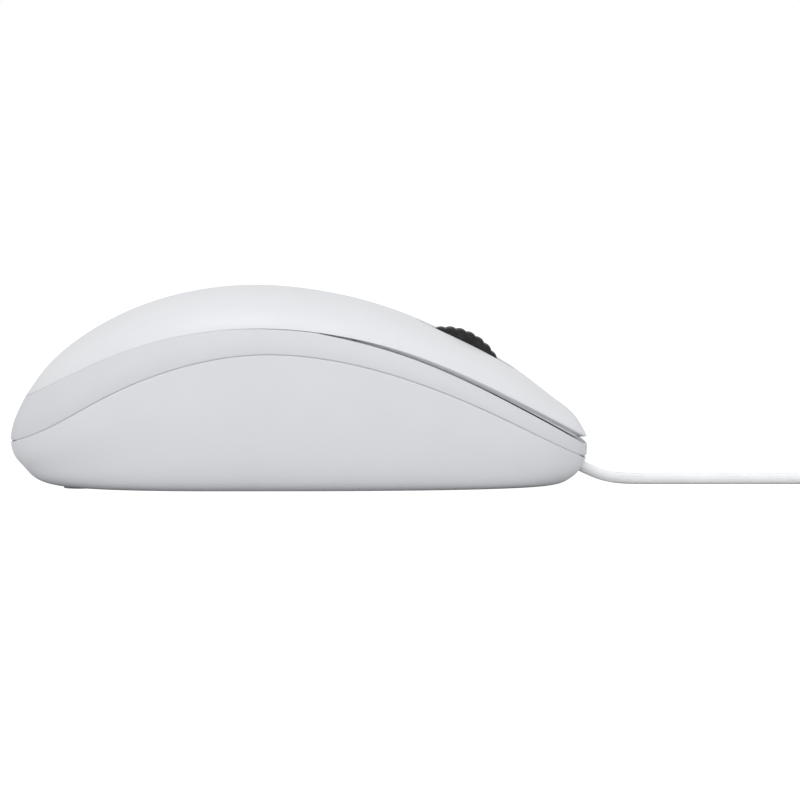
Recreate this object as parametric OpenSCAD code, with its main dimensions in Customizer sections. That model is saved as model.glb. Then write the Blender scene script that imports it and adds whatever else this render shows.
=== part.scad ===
// Wired desktop mouse, shaped for either hand, as separate parts in one frame.
// +X points to the nose, +Y to the user's left and +Z up. The desk is the plane z = 0.

/* [Body] */
// Length from tail to nose
body_length = 113; // [111:0.5:115]
// Width across the widest part of the lower case
body_width = 62; // [60:0.5:64]
// Height of the crown above the desk
body_height = 39; // [38.5:0.25:40]
// Wall thickness of the case, the band and the covers
wall = 1.8; // [1.5:0.1:2]
// Height of the lower case's underside above the desk
glide_height = 0.45; // [0.4:0.05:0.6]

/* [Buttons] */
// Place of the line where the button tongues bend, measured along X
button_root = 12; // [10:0.5:13]
// Width of the slit between the two buttons
slit_width = 0.7; // [0.5:0.1:1]
// Distance of each button's switch from the middle
switch_y = 14; // [13.8:0.1:14.2]
// Place of the switch plungers along X
switch_x = 38; // [37.5:0.25:38]

/* [Wheel] */
// Outer radius of the scroll wheel's tyre
wheel_radius = 11.6; // [11.2:0.1:11.7]
// Width of the tyre
wheel_width = 7; // [6:0.1:7]
// Number of ribs around the tyre
wheel_ribs = 34; // [28:1:38]
// Place of the wheel's axle along X
wheel_x = 28.7; // [28.5:0.1:29]
// Height of the wheel's axle
wheel_z = 19.3; // [19:0.1:19.5]
// Teeth of the detent ring, and slots of the encoder
detents = 24; // [18:1:24]

/* [Cable] */
// Outer diameter of the cable
cable_diameter = 2.2; // [2:0.1:2.4]
// Outer radius of the stored coil's outermost turn, at the middle of the cable
coil_radius = 18.3; // [18:0.1:18.5]
// Turns side by side in each layer of the coil
coil_columns = 5; // [4:1:5]
// Layers of turns in the coil
coil_layers = 4; // [3:1:4]

/* [Hidden] */
$fn = 48;
stretch_x = body_length / 113;
stretch_y = body_width / 62;
stretch_z = body_height / 39;

// Heights along the body at full size, as [x, z]: the crown's profile, the lower edge
// of the top covers, and the seam between the band and the lower case.
RIDGE = [[-53.5, 17.5], [-50.5, 21.8], [-45, 27.2], [-35, 33.3], [-22, 37.6], [-9.5, 39],
         [4, 37.9], [18, 34.4], [32, 28.4], [43, 22.2], [51, 16.1], [54.7, 12.6], [56.5, 9.5]];
COVER_EDGE = [[-53.5, 17.5], [-48, 20.4], [-38, 25.4], [-24, 30], [-8, 31.8], [8, 30.4],
              [22, 26.8], [36, 20.9], [46, 15.7], [52, 12.3], [56.5, 9.5]];
CASE_SEAM = [[-56.5, 8.7], [-50, 11.4], [-38, 18], [-24, 23.9], [-8, 26.8], [8, 25.5],
             [22, 21.7], [36, 16], [46, 11], [52, 7.9], [56.5, 5.6]];

// Plan outlines: half width at the widest place, tail x and nose x
WIDEST_X = -15;
NOSE_SQUARENESS = 2.9;
TAIL_SQUARENESS = 2.4;
COVER_PLAN = [27.4, -53.5, 56.5];
SEAM_PLAN = [29.4, -56.5, 56.4];
// Outer rings of the lower case from the seam down: plan outline, then the share of
// the seam's height above the underside
CASE_RINGS = [[SEAM_PLAN, 1], [[30.7, -55.6, 55.4], 0.62], [[31, -53.7, 54.3], 0.36],
              [[30.6, -51.8, 52.7], 0.14], [[29.6, -50.2, 51.7], 0.05], [[27.6, -48.4, 50.5], 0]];
RING_STEPS = 64;

// The crown's cross-section is part of a superellipse that leans over at the edge
CROWN_SQUARENESS = 2.4;
CROWN_SPAN = 0.965;

// The gap under the buttons opens from here to the nose
GAP_START = 4;
GAP_AT_NOSE = 1.4;
ROOT_GAP = 0.3;
// The band's rim stays this far under the covers, and slopes down inwards
SEAM_GAP = 0.12;
RIM_SLOPE = 1;
// Half length and half width of the slot for the wheel, and its middle
SLOT_X = 32.6;
SLOT_HALF_LENGTH = 9.4;
SLOT_HALF_WIDTH = 4.4;

floor_top = glide_height + 1.95;
board_z = 8;
board_thickness = 1.6;
board_top = board_z + board_thickness;
FIT = 0.05;

// Switches: body length, width and height, and the plunger's rise above the body
SWITCH_SIZE = [12.8, 5.8, 6.5];
PLUNGER_SIZE = [2.9, 1.2];
PLUNGER_RISE = 0.7;
plunger_top = board_top + SWITCH_SIZE.z + PLUNGER_RISE;

axle_radius = 1.5;
hub_radius = wheel_radius - 2.2;
DETENT_RADIUS = 4.2;
// Wheel carrier: the inner faces of its two side plates, and its cross bars
LEFT_PLATE_Y = 5.8;
RIGHT_PLATE_Y = -4.2;
PLATE = 1.6;
CARRIER_BACK = 13.5;
CARRIER_FRONT = 43.8;
CARRIER_BOTTOM = 9.5;
BAR_HEIGHT = 3;
GUIDE_Y = 4.2;
GUIDE_RADIUS = 1;
spring_x = CARRIER_BACK + PLATE / 2;
SPRING_SEAT = 1.6;
// Middle switch under the carrier's lug
MIDDLE_X = 20;
MIDDLE_Y = 11.3;
MIDDLE_SIZE = 6;
MIDDLE_HEIGHT = 3.5;
MIDDLE_RISE = 0.9;
middle_top = board_top + MIDDLE_HEIGHT + MIDDLE_RISE;
// Light beam of the scroll encoder, below the axle
BEAM_RADIUS = 6;

SENSOR_X = -6;
SCREW_X = -36;
FRONT_FOOT_X = 39;
REAR_FOOT_X = -42.7;
FOOT_RADIUS = 3;
FOOT_CLEARANCE = 0.15;
SCREW_HOLE = 3;
BOSS_RADIUS = 2.8;
LENS_TOP = 7.9;

// Cable exit on the nose, and the direction it takes into the case
EXIT = [55.6, 0, 3.45];
EXIT_SLOPE = 26;
GLAND_START = 3.6;
GLAND_LENGTH = 5.4;
COIL_CENTRE = [128, 11.8];
COIL_PITCH = 2.25;
TIE_THICKNESS = 0.5;
coil_inner = coil_radius - COIL_PITCH * (coil_columns - 1) - cable_diameter / 2 - 0.1;
coil_outer = coil_radius + cable_diameter / 2 + 0.1;
coil_height = COIL_PITCH * (coil_layers - 1) + cable_diameter;
// Routes of the cable's free stretches, as points on its centre line
RUN_ROUTE = [[52.4, 0, 5], [54, 0, 4.25], [55.6, 0, 3.45], [58.4, 0, 2.2], [60.9, 0, 1.5],
             [63.3, 0, 1.2], [66, 0, 1.1], [74, 0, 1.1], [84, 0, 1.1], [94, 0, 1.1],
             [103, -0.6, 1.1], [111, -2.4, 1.1], [118, -4.6, 1.3], [123, -6, 1.5]];
TAIL_ROUTE = [[133, -6.6, 8.1], [138, -6.7, 6.6], [142, -7, 4.6], [146, -8.3, 2.6],
              [149, -11, 1.4], [150.2, -14, 1.1], [149, -17.6, 1.5], [145.4, -20.3, 2.9],
              [141, -21, 4]];
INNER_ROUTE = [[47.5, 0, 7.4], [46.7, -2.4, 9], [45.6, -5, 10.6], [44, -7.4, 11.5],
               [42, -8.7, 11.6]];
PLUG_TAIL = [141, -21, 4];
RELIEF_LENGTH = 8;
PLUG_BODY = [18, 16, 8];
PLUG_SHELL = [18.7, 12, 4.5];
SHELL_SHOWN = 12;
SHELL_WALL = 0.3;

SHELL_WHITE = [0.92, 0.925, 0.93];
CASE_WHITE = [0.85, 0.855, 0.87];
RUBBER = [0.1, 0.1, 0.1];
STEEL = [0.72, 0.73, 0.75];

// ---- Curves and outlines ----

// A smooth curve through points [x, z], with the slope at each from its neighbours
function segment(p, x) = max([for (i = [0 : len(p) - 2]) if (i == 0 || x >= p[i].x) i]);
function slope(p, i) =
    let (a = p[max(i - 1, 0)], b = p[min(i + 1, len(p) - 1)]) (b.y - a.y) / (b.x - a.x);
function curve_at(p, x) =
    let (i = segment(p, x), h = p[i + 1].x - p[i].x, t = min(1, max(0, (x - p[i].x) / h)))
    (2 * t ^ 3 - 3 * t ^ 2 + 1) * p[i].y + (t ^ 3 - 2 * t ^ 2 + t) * h * slope(p, i)
    + (3 * t ^ 2 - 2 * t ^ 3) * p[i + 1].y + (t ^ 3 - t ^ 2) * h * slope(p, i + 1);
function height_at(p, x) = stretch_z * curve_at(p, x / stretch_x);

function squareness(x) = x >= WIDEST_X ? NOSE_SQUARENESS : TAIL_SQUARENESS;
// Half width of a plan outline at x, and its x at a given half width
function half_width(plan, x) =
    let (end = x / stretch_x >= WIDEST_X ? plan[2] : plan[1], n = squareness(x / stretch_x),
         u = min(1, (x / stretch_x - WIDEST_X) / (end - WIDEST_X)))
    stretch_y * plan[0] * (1 - u ^ n) ^ (1 / n);
function end_x(plan, end, y) =
    let (n = squareness(end)) stretch_x * (WIDEST_X
        + (end - WIDEST_X) * (1 - (abs(y) / stretch_y / plan[0]) ^ n) ^ (1 / n));
// Point of a plan outline at an angle, pulled in by a wall thickness
function ring_point(plan, angle, inset = 0) =
    let (c = cos(angle), s = sin(angle), end = c >= 0 ? plan[2] : plan[1], n = squareness(end))
    [stretch_x * WIDEST_X + sign(c) * (stretch_x * abs(end - WIDEST_X) - inset) * abs(c) ^ (2 / n),
     sign(s) * (stretch_y * plan[0] - inset) * abs(s) ^ (2 / n)];
function blend_plan(a, b, share) = a + (b - a) * share;

// ---- Surfaces ----

function crown_drop(t) =
    let (n = CROWN_SQUARENESS, k = CROWN_SPAN)
    (1 - (1 - (k * t) ^ n) ^ (1 / n)) / (1 - (1 - k ^ n) ^ (1 / n));
// Height of the top covers' outer surface
function crown_z(x, y) =
    let (top = height_at(RIDGE, x), low = height_at(COVER_EDGE, x),
         t = min(1, abs(y) / max(0.01, half_width(COVER_PLAN, x))))
    top - (top - low) * crown_drop(t);
// Share of the way from the middle of the covers (0) to their outline (1)
function outward(p) =
    let (x = p.x / stretch_x, end = x >= WIDEST_X ? COVER_PLAN[2] : COVER_PLAN[1],
         n = squareness(x))
    min(1, ((x - WIDEST_X) / (end - WIDEST_X)) ^ n + (abs(p.y) / stretch_y / COVER_PLAN[0]) ^ n);
// Point of the covers at plan point p. A depth goes down in the middle and inwards at the edge
function crown_point(p, depth) =
    let (lean = outward(p) ^ 3, from_middle = p - [WIDEST_X, 0],
         inwards = from_middle / max(0.01, norm(from_middle)))
    [p.x - depth * lean * inwards.x, p.y - depth * lean * inwards.y,
     crown_z(p.x, p.y) - depth * sqrt(1 - lean ^ 2)];
// Height of the gap under the buttons, which opens quickly and then slowly to the nose
function button_gap(x) =
    let (u = max(0, (x - GAP_START) / (COVER_PLAN[2] - GAP_START)))
    GAP_AT_NOSE * u ^ 0.6;
// Inner edge of a button's plan, which makes room for the wheel
function slit_edge(x) =
    let (u = abs(x - SLOT_X) / SLOT_HALF_LENGTH)
    max(slit_width / 2, u < 1 ? SLOT_HALF_WIDTH * (1 - u ^ 6) ^ (1 / 3) : 0);

// Plan grid that fills a four-sided outline: sides a and b run along u, c and d along v
function patch(a, b, c, d, us, vs) = [for (i = [0 : len(us) - 1]) [for (j = [0 : len(vs) - 1])
    let (u = us[i], v = vs[j])
    (1 - v) * a[i] + v * b[i] + (1 - u) * c[j] + u * d[j]
    - (1 - u) * (1 - v) * a[0] - (1 - u) * v * b[0]
    - u * (1 - v) * a[len(us) - 1] - u * v * b[len(us) - 1]]];

// Closed shell between an outer and an inner grid of points with the same layout
module shell(outer, inner) {
    rows = len(outer);
    columns = len(outer[0]);
    count = rows * columns;
    points = concat([for (row = outer) each row], [for (row = inner) each row]);
    rim = concat([for (j = [0 : columns - 1]) j],
                 [for (i = [1 : rows - 1]) i * columns + columns - 1],
                 [for (j = [columns - 2 : -1 : 0]) (rows - 1) * columns + j],
                 [for (i = [rows - 2 : -1 : 1]) i * columns]);
    sheet = [for (i = [0 : rows - 2]) for (j = [0 : columns - 2])
        let (a = i * columns + j, b = a + 1, c = a + columns, d = c + 1)
        each [[a, b, d], [a, d, c]]];
    far_sheet = [for (f = sheet) [f[0] + count, f[2] + count, f[1] + count]];
    sides = [for (k = [0 : len(rim) - 1])
        let (a = rim[k], b = rim[(k + 1) % len(rim)])
        each [[b, a, a + count], [b, a + count, b + count]]];
    polyhedron(points = points, faces = concat(sheet, far_sheet, sides));
}

// Solid wrapped around the body: each ring is a list of points, and the last joins the first
module wrapped(rings) {
    n = len(rings[0]);
    m = len(rings);
    polyhedron(points = [for (ring = rings) each ring], faces = [
        for (k = [0 : m - 1]) for (i = [0 : n - 1])
        let (a = k * n + i, b = k * n + (i + 1) % n,
             c = ((k + 1) % m) * n + i, d = ((k + 1) % m) * n + (i + 1) % n)
        each [[a, d, b], [a, c, d]]]);
}

// ---- Shells ----

ring_angles = [for (i = [0 : RING_STEPS - 1]) i * 360 / RING_STEPS];

function seam_point(plan, angle, inset) =
    let (outside = ring_point(plan, angle), p = ring_point(plan, angle, inset))
    [p.x, p.y, height_at(CASE_SEAM, outside.x)];
// Ring of the band: share 0 is its top edge under the covers, share 1 is the case seam
function band_ring(share, inset) = [for (angle = ring_angles)
    let (plan = blend_plan(COVER_PLAN, SEAM_PLAN, sin(90 * share)),
         upper = ring_point(COVER_PLAN, angle), lower = ring_point(SEAM_PLAN, angle),
         p = ring_point(plan, angle, inset),
         top = height_at(COVER_EDGE, upper.x) - button_gap(upper.x)
               - (inset > 0 ? RIM_SLOPE : SEAM_GAP),
         bottom = height_at(CASE_SEAM, lower.x))
    [p.x, p.y, top + (bottom - top) * share]];
// Ring of the lower case at a share of the seam's height, no lower than the given floor
function case_ring(plan, share, inset, lowest) = [for (angle = ring_angles)
    let (p = ring_point(plan, angle, inset),
         seam = height_at(CASE_SEAM, ring_point(SEAM_PLAN, angle).x))
    [p.x, p.y, max(lowest, glide_height + (seam - glide_height) * share)]];

module case_shell() {
    outside = [for (r = CASE_RINGS) case_ring(r[0], r[1], 0, glide_height)];
    floor_plan = CASE_RINGS[5][0];
    inside = [case_ring(floor_plan, 0, wall, floor_top),
              case_ring(CASE_RINGS[3][0], 0.16, wall, floor_top + 0.6),
              case_ring(CASE_RINGS[2][0], 0.4, wall, floor_top + 1.2),
              case_ring(SEAM_PLAN, 1, wall, floor_top)];
    rings = concat(outside, inside);
    n = RING_STEPS;
    m = len(rings);
    low = len(outside) - 1;
    polyhedron(points = [for (ring = rings) each ring], faces = concat(
        [for (k = [0 : m - 1]) if (k != low) for (i = [0 : n - 1])
            let (a = k * n + i, b = k * n + (i + 1) % n,
                 c = ((k + 1) % m) * n + i, d = ((k + 1) % m) * n + (i + 1) % n)
            each [[a, b, d], [a, d, c]]],
        [[for (i = [0 : n - 1]) low * n + i]],
        [[for (i = [n - 1 : -1 : 0]) (low + 1) * n + i]]));
}

// Along the cable's way into the case from its exit, which rises towards the tail
module on_exit_axis(distance) {
    translate(EXIT) rotate([0, -90 + EXIT_SLOPE, 0]) translate([0, 0, distance]) children();
}

module lower_case() {
    color(CASE_WHITE) difference() {
        union() {
            case_shell();
            // Posts under the circuit board
            for (x = [-12, 8]) for (side = [-1, 1])
                translate([x, side * 15, floor_top - 0.5])
                    cylinder(r = 2.2, h = board_z - floor_top + 0.5);
            // Guide pins of the wheel carrier, and the seat of its spring
            for (side = [-1, 1])
                translate([spring_x, side * GUIDE_Y, floor_top - 0.5])
                    cylinder(r = GUIDE_RADIUS, h = CARRIER_BOTTOM + BAR_HEIGHT - floor_top);
            translate([spring_x, 0, floor_top - 0.5])
                cylinder(r = 2.6, h = SPRING_SEAT + 0.5);
            translate([spring_x, 0, floor_top])
                cylinder(r = 1.1, h = SPRING_SEAT + 2.6);
            // Saddle that holds the cable gland
            translate([48.6, -3.6, floor_top - 0.5]) cube([2.2, 7.2, 4.6]);
            // Boss around the screw
            translate([SCREW_X, 0, floor_top - 0.5]) cylinder(r = 4.4, h = 2.5);
        }
        on_exit_axis(-6) cylinder(r = cable_diameter / 2 + FIT, h = 12);
        on_exit_axis(GLAND_START - 0.1) cylinder(r = 2.4 + FIT, h = GLAND_LENGTH + 3);
        // Pilot holes for the board's two screws
        for (side = [-1, 1]) translate([8, side * 15, 4]) cylinder(r = 0.9, h = 5);
        // Screw hole with its counterbore
        translate([SCREW_X, 0, -1]) cylinder(r = SCREW_HOLE / 2 + 0.1, h = 8);
        translate([SCREW_X, 0, -1]) cylinder(r = 3, h = 1 + 2.2);
        // Window under the sensor
        translate([SENSOR_X - 3.5, -3, -1]) cube([9, 6, 5]);
        // Recesses of the two feet
        translate([0, 0, glide_height - 1]) linear_extrude(1.2)
            foot_outline(FRONT_FOOT_X, FOOT_CLEARANCE);
        translate([0, 0, glide_height - 1]) linear_extrude(1.2)
            foot_outline(REAR_FOOT_X, FOOT_CLEARANCE);
    }
}

module side_band() {
    color(CASE_WHITE) wrapped(concat(
        [for (share = [0 : 0.25 : 1]) band_ring(share, 0)],
        [for (share = [1 : -0.5 : 0]) band_ring(share, wall)]));
}

PALM_US = [0, 0.1, 0.2, 0.3, 0.4, 0.5, 0.6, 0.7, 0.79, 0.87, 0.93, 0.975, 1];
PALM_VS = [0, 0.02, 0.06, 0.12, 0.2, 0.3, 0.4, 0.5, 0.6, 0.7, 0.8, 0.88, 0.94, 0.98, 1];
TAIL_CORNER_Y = 15;

module palm_cover() {
    front = button_root - ROOT_GAP / 2;
    corner = end_x(COVER_PLAN, COVER_PLAN[1], TAIL_CORNER_Y);
    xs = [for (u = PALM_US) front + (corner - front) * u];
    left = [for (x = xs) [x, half_width(COVER_PLAN, x)]];
    right = [for (p = left) [p.x, -p.y]];
    front_row = [for (v = PALM_VS) [front, (1 - 2 * v) * half_width(COVER_PLAN, front)]];
    tail_row = [for (v = PALM_VS)
        let (y = (1 - 2 * v) * TAIL_CORNER_Y) [end_x(COVER_PLAN, COVER_PLAN[1], y), y]];
    plan = patch(left, right, front_row, tail_row, PALM_US, PALM_VS);
    color(SHELL_WHITE) difference() {
        union() {
            shell([for (row = plan) [for (p = row) crown_point(p, 0)]],
                  [for (row = plan) [for (p = row) crown_point(p, wall)]]);
            translate([SCREW_X, 0, floor_top + 2.1])
                cylinder(r = BOSS_RADIUS, h = crown_z(SCREW_X - BOSS_RADIUS, 0) - floor_top - 2.4);
        }
        translate([SCREW_X, 0, 0]) cylinder(r = SCREW_HOLE / 2, h = 14);
    }
}

BUTTON_US = [0, 0.07, 0.14, 0.21, 0.265, 0.29, 0.32, 0.37, 0.43, 0.49, 0.56, 0.63, 0.67, 0.7,
             0.76, 0.83, 0.89, 0.94, 0.98, 1];
BUTTON_VS = [0, 0.14, 0.3, 0.46, 0.6, 0.72, 0.82, 0.9, 0.96, 1];
NOSE_CORNER_Y = 18;

module button() {
    back = button_root + ROOT_GAP / 2;
    slit = slit_width / 2;
    nose = end_x(COVER_PLAN, COVER_PLAN[2], slit);
    corner = end_x(COVER_PLAN, COVER_PLAN[2], NOSE_CORNER_Y);
    inner_side = [for (u = BUTTON_US) let (x = back + (nose - back) * u) [x, slit_edge(x)]];
    outer_side = [for (u = BUTTON_US)
        let (x = back + (corner - back) * u) [x, half_width(COVER_PLAN, x)]];
    root_row = [for (v = BUTTON_VS) [back, slit + v * (half_width(COVER_PLAN, back) - slit)]];
    nose_row = [for (v = BUTTON_VS)
        let (y = slit + v * (NOSE_CORNER_Y - slit)) [end_x(COVER_PLAN, COVER_PLAN[2], y), y]];
    plan = patch(inner_side, outer_side, root_row, nose_row, BUTTON_US, BUTTON_VS);
    color(SHELL_WHITE) union() {
        shell([for (row = plan) [for (p = row) crown_point(p, 0)]],
              [for (row = plan) [for (p = row) crown_point(p, wall)]]);
        // Post that presses the switch
        translate([switch_x - 1.5, switch_y - 1, plunger_top + FIT])
            cube([3, 2, crown_z(switch_x + 2, switch_y + 1) - plunger_top - 1.6]);
    }
}

module left_button() {
    button();
}

module right_button() {
    mirror([0, 1, 0]) button();
}

// ---- Underside ----

module foot_outline(x, margin) {
    half = x > 0 ? 9 : 11;
    offset(r = margin) hull() for (side = [-1, 1])
        translate([x, side * half]) circle(r = FOOT_RADIUS, $fn = 32);
}

module front_foot() {
    color([0.8, 0.81, 0.82]) linear_extrude(glide_height + 0.2) foot_outline(FRONT_FOOT_X, 0);
}

module rear_foot() {
    color([0.8, 0.81, 0.82]) linear_extrude(glide_height + 0.2) foot_outline(REAR_FOOT_X, 0);
}

module label_plate() {
    color("white") translate([-24, -9, glide_height - 0.15]) cube([14, 18, 0.15]);
}

module case_screw() {
    color(STEEL) difference() {
        union() {
            translate([SCREW_X, 0, 0.9]) cylinder(r = 2.6, h = 1.3);
            translate([SCREW_X, 0, 2.1]) cylinder(r = SCREW_HOLE / 2 - 0.02, h = 10);
        }
        for (turn = [0, 90]) translate([SCREW_X, 0, 0.8]) rotate(turn)
            translate([-1.5, -0.3, 0]) cube([3, 0.6, 0.9]);
    }
}

// ---- Circuit board and what stands on it ----

module circuit_board() {
    half_back = 19;
    half_front = 17;
    color([0.09, 0.35, 0.2]) translate([0, 0, board_z]) linear_extrude(board_thickness)
        difference() {
            polygon([[-17, -half_back], [30, -half_back], [44, -half_front], [44, half_front],
                     [30, half_back], [-17, half_back]]);
            translate([CARRIER_BACK - 2.4, RIGHT_PLATE_Y - PLATE - 0.4])
                square([40, LEFT_PLATE_Y - RIGHT_PLATE_Y + 2 * PLATE + 0.8]);
            translate([SENSOR_X - 3, -3]) square([6, 6]);
            for (side = [-1, 1]) translate([8, side * 15]) circle(r = 1.2);
        }
}

module board_screws() {
    color(STEEL) for (side = [-1, 1]) translate([8, side * 15, 0]) {
        translate([0, 0, board_top]) cylinder(r = 2.1, h = 1.2);
        translate([0, 0, 4.6]) cylinder(r = 0.88, h = board_top - 4.5);
    }
}

module optical_sensor() {
    color([0.13, 0.13, 0.14]) translate([SENSOR_X, 0, board_top]) union() {
        translate([-4.5, -4.6, 0]) cube([9, 9.2, 3.8]);
        for (x = [-3.8 : 2.54 : 3.9]) for (side = [-1, 1])
            translate([x - 0.25, side * 5.1 - 0.6, 0]) cube([0.5, 1.2, 2.2]);
    }
}

module sensor_lens() {
    color([0.85, 0.9, 0.92, 0.6]) union() {
        translate([SENSOR_X - 7, -5.5, floor_top]) cube([17, 11, 1.4]);
        translate([SENSOR_X, 0, floor_top + 1]) cylinder(r = 2.4, h = LENS_TOP - floor_top - 1);
        translate([SENSOR_X + 5.6, -2, floor_top + 1]) cube([4, 4, 3.4]);
        translate([SENSOR_X, 0, floor_top - 0.7]) cylinder(r = 2.2, h = 1);
    }
}

LED_PLACE = [3.2, 0, 12.6];
LED_TILT = -70;

module led() {
    color([0.9, 0.15, 0.1]) translate(LED_PLACE) rotate([0, LED_TILT, 0]) union() {
        translate([0, 0, -2.4]) cylinder(r = 1.9, h = 0.8);
        translate([0, 0, -1.8]) cylinder(r = 1.5, h = 3);
        translate([0, 0, 1.2]) sphere(r = 1.5);
    }
}

module led_clip() {
    color([0.15, 0.15, 0.16]) difference() {
        translate([1.6, -3, board_top]) cube([5.6, 6, 5.4]);
        translate(LED_PLACE) rotate([0, LED_TILT, 0]) translate([0, 0, -8])
            cylinder(r = 2, h = 16);
    }
}

// Snap-action switch with a well for its plunger
module click_switch() {
    back = switch_x - SWITCH_SIZE.x + 5.15;
    color([0.12, 0.12, 0.13]) difference() {
        translate([back, switch_y - SWITCH_SIZE.y / 2, board_top]) cube(SWITCH_SIZE);
        translate([switch_x - PLUNGER_SIZE.x / 2 - FIT, switch_y - PLUNGER_SIZE.y / 2 - FIT,
                   board_top + SWITCH_SIZE.z - 2])
            cube([PLUNGER_SIZE.x + 2 * FIT, PLUNGER_SIZE.y + 2 * FIT, 3]);
        for (x = [back - 1, back + SWITCH_SIZE.x - 0.8])
            translate([x, switch_y - 5, board_top + SWITCH_SIZE.z - 1.2]) cube([1.8, 10, 2]);
    }
}

module click_plunger() {
    color([0.85, 0.3, 0.15]) translate([switch_x - PLUNGER_SIZE.x / 2,
        switch_y - PLUNGER_SIZE.y / 2, plunger_top - 2]) cube([PLUNGER_SIZE.x, PLUNGER_SIZE.y, 2]);
}

module left_switch() {
    click_switch();
}

module right_switch() {
    mirror([0, 1, 0]) click_switch();
}

module left_plunger() {
    click_plunger();
}

module right_plunger() {
    mirror([0, 1, 0]) click_plunger();
}

module middle_switch() {
    color([0.14, 0.14, 0.15]) translate([MIDDLE_X, MIDDLE_Y, board_top]) difference() {
        translate([-MIDDLE_SIZE / 2, -MIDDLE_SIZE / 2, 0])
            cube([MIDDLE_SIZE, MIDDLE_SIZE, MIDDLE_HEIGHT]);
        translate([0, 0, MIDDLE_HEIGHT - 1.4]) cylinder(r = 1.7 + FIT, h = 3);
    }
}

module middle_plunger() {
    color([0.35, 0.2, 0.12]) translate([MIDDLE_X, MIDDLE_Y, middle_top - 1.7])
        cylinder(r = 1.7, h = 1.7);
}

// Side-looking emitter or receiver of the scroll encoder
module beam_part(y) {
    beam_z = wheel_z - BEAM_RADIUS;
    union() {
        translate([wheel_x - 2.2, y - 1, board_top]) cube([4.4, 2, beam_z + 2.2 - board_top]);
        translate([wheel_x, y - sign(y) * 0.8, beam_z]) sphere(r = 0.7);
    }
}

module scroll_emitter() {
    color([0.75, 0.85, 0.9]) beam_part(RIGHT_PLATE_Y - PLATE - 2.2);
}

module scroll_receiver() {
    color([0.1, 0.1, 0.12]) beam_part(LEFT_PLATE_Y + PLATE + 2.2);
}

module cable_header() {
    color([0.93, 0.92, 0.88]) translate([33, -10.9, board_top]) union() {
        cube([9, 4.2, 4]);
        for (x = [1 : 2 : 8]) translate([x, 1.6, 4]) cube([0.8, 1, 0.4]);
    }
}

module capacitor() {
    color([0.12, 0.14, 0.25]) translate([-12, 10, board_top]) cylinder(r = 2.5, h = 7);
}

module small_chips() {
    color([0.3, 0.25, 0.2]) for (place = [[0, 9], [0, 12], [0, -9], [-8, -13], [22, -13]])
        translate([place.x, place.y, board_top]) cube([2, 1.25, 0.6]);
}

// ---- Scroll wheel and its carrier ----

// Turns a solid drawn along Z so that it lies on the wheel's axis
module on_axle() {
    translate([wheel_x, 0, wheel_z]) rotate([90, 0, 0]) children();
}

module wheel_tyre() {
    rib_radius = 1.8;
    color(RUBBER) on_axle() translate([0, 0, -wheel_width / 2]) linear_extrude(wheel_width)
        difference() {
            union() {
                circle(r = wheel_radius - rib_radius, $fn = 96);
                for (i = [0 : wheel_ribs - 1]) rotate(i * 360 / wheel_ribs)
                    translate([wheel_radius - rib_radius, 0]) circle(r = rib_radius, $fn = 24);
            }
            circle(r = hub_radius, $fn = 96);
        }
}

module wheel_hub() {
    hub_width = wheel_width - 0.4;
    detent_length = LEFT_PLATE_Y - 0.4;
    color([0.75, 0.76, 0.78]) on_axle() difference() {
        union() {
            translate([0, 0, -hub_width / 2]) cylinder(r = hub_radius, h = hub_width, $fn = 96);
            translate([0, 0, -detent_length]) cylinder(r = DETENT_RADIUS, h = detent_length);
            translate([0, 0, -8.2]) cylinder(r = axle_radius, h = 15);
        }
        for (i = [0 : detents - 1]) rotate(i * 360 / detents) {
            translate([5, -0.4, -10]) cube([2.2, 0.8, 20]);
            translate([DETENT_RADIUS, 0, -detent_length - 1]) cylinder(r = 0.3, h = 2.6, $fn = 16);
        }
    }
}

// Outline of one side plate of the carrier, seen from the side
PLATE_OUTLINE = [[13.5, 9.5], [43.8, 9.5], [43.8, 12.5], [36, 12.5], [32, 22], [25.4, 22],
                 [23, 16], [17.5, 16], [17, 12.5], [13.5, 12.5]];

module side_plate(y) {
    translate([0, y + PLATE, 0]) rotate([90, 0, 0]) linear_extrude(PLATE) difference() {
        polygon(PLATE_OUTLINE);
        translate([wheel_x, wheel_z]) circle(r = axle_radius + FIT);
        translate([wheel_x - 1.6, wheel_z - BEAM_RADIUS - 1.6]) square(3.2);
    }
}

module wheel_carrier() {
    outside = LEFT_PLATE_Y - RIGHT_PLATE_Y + 2 * PLATE;
    color([0.8, 0.81, 0.82]) difference() {
        union() {
            side_plate(LEFT_PLATE_Y);
            side_plate(RIGHT_PLATE_Y - PLATE);
            for (x = [CARRIER_BACK, CARRIER_FRONT - PLATE])
                translate([x, RIGHT_PLATE_Y - PLATE, CARRIER_BOTTOM])
                    cube([PLATE, outside, BAR_HEIGHT]);
            // Pads around the guide holes
            for (side = [-1, 1]) translate([spring_x, side * GUIDE_Y, CARRIER_BOTTOM])
                cylinder(r = 1.55, h = BAR_HEIGHT);
            // Seat over the spring
            translate([spring_x, 0, CARRIER_BOTTOM]) cylinder(r = 2.4, h = BAR_HEIGHT);
            // Lug over the middle switch
            translate([MIDDLE_X - 2, LEFT_PLATE_Y, middle_top + FIT]) cube([4, 7.4, 1.5]);
        }
        for (side = [-1, 1]) translate([spring_x, side * GUIDE_Y, CARRIER_BOTTOM - 1])
            cylinder(r = GUIDE_RADIUS + FIT, h = BAR_HEIGHT + 2);
    }
}

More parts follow.
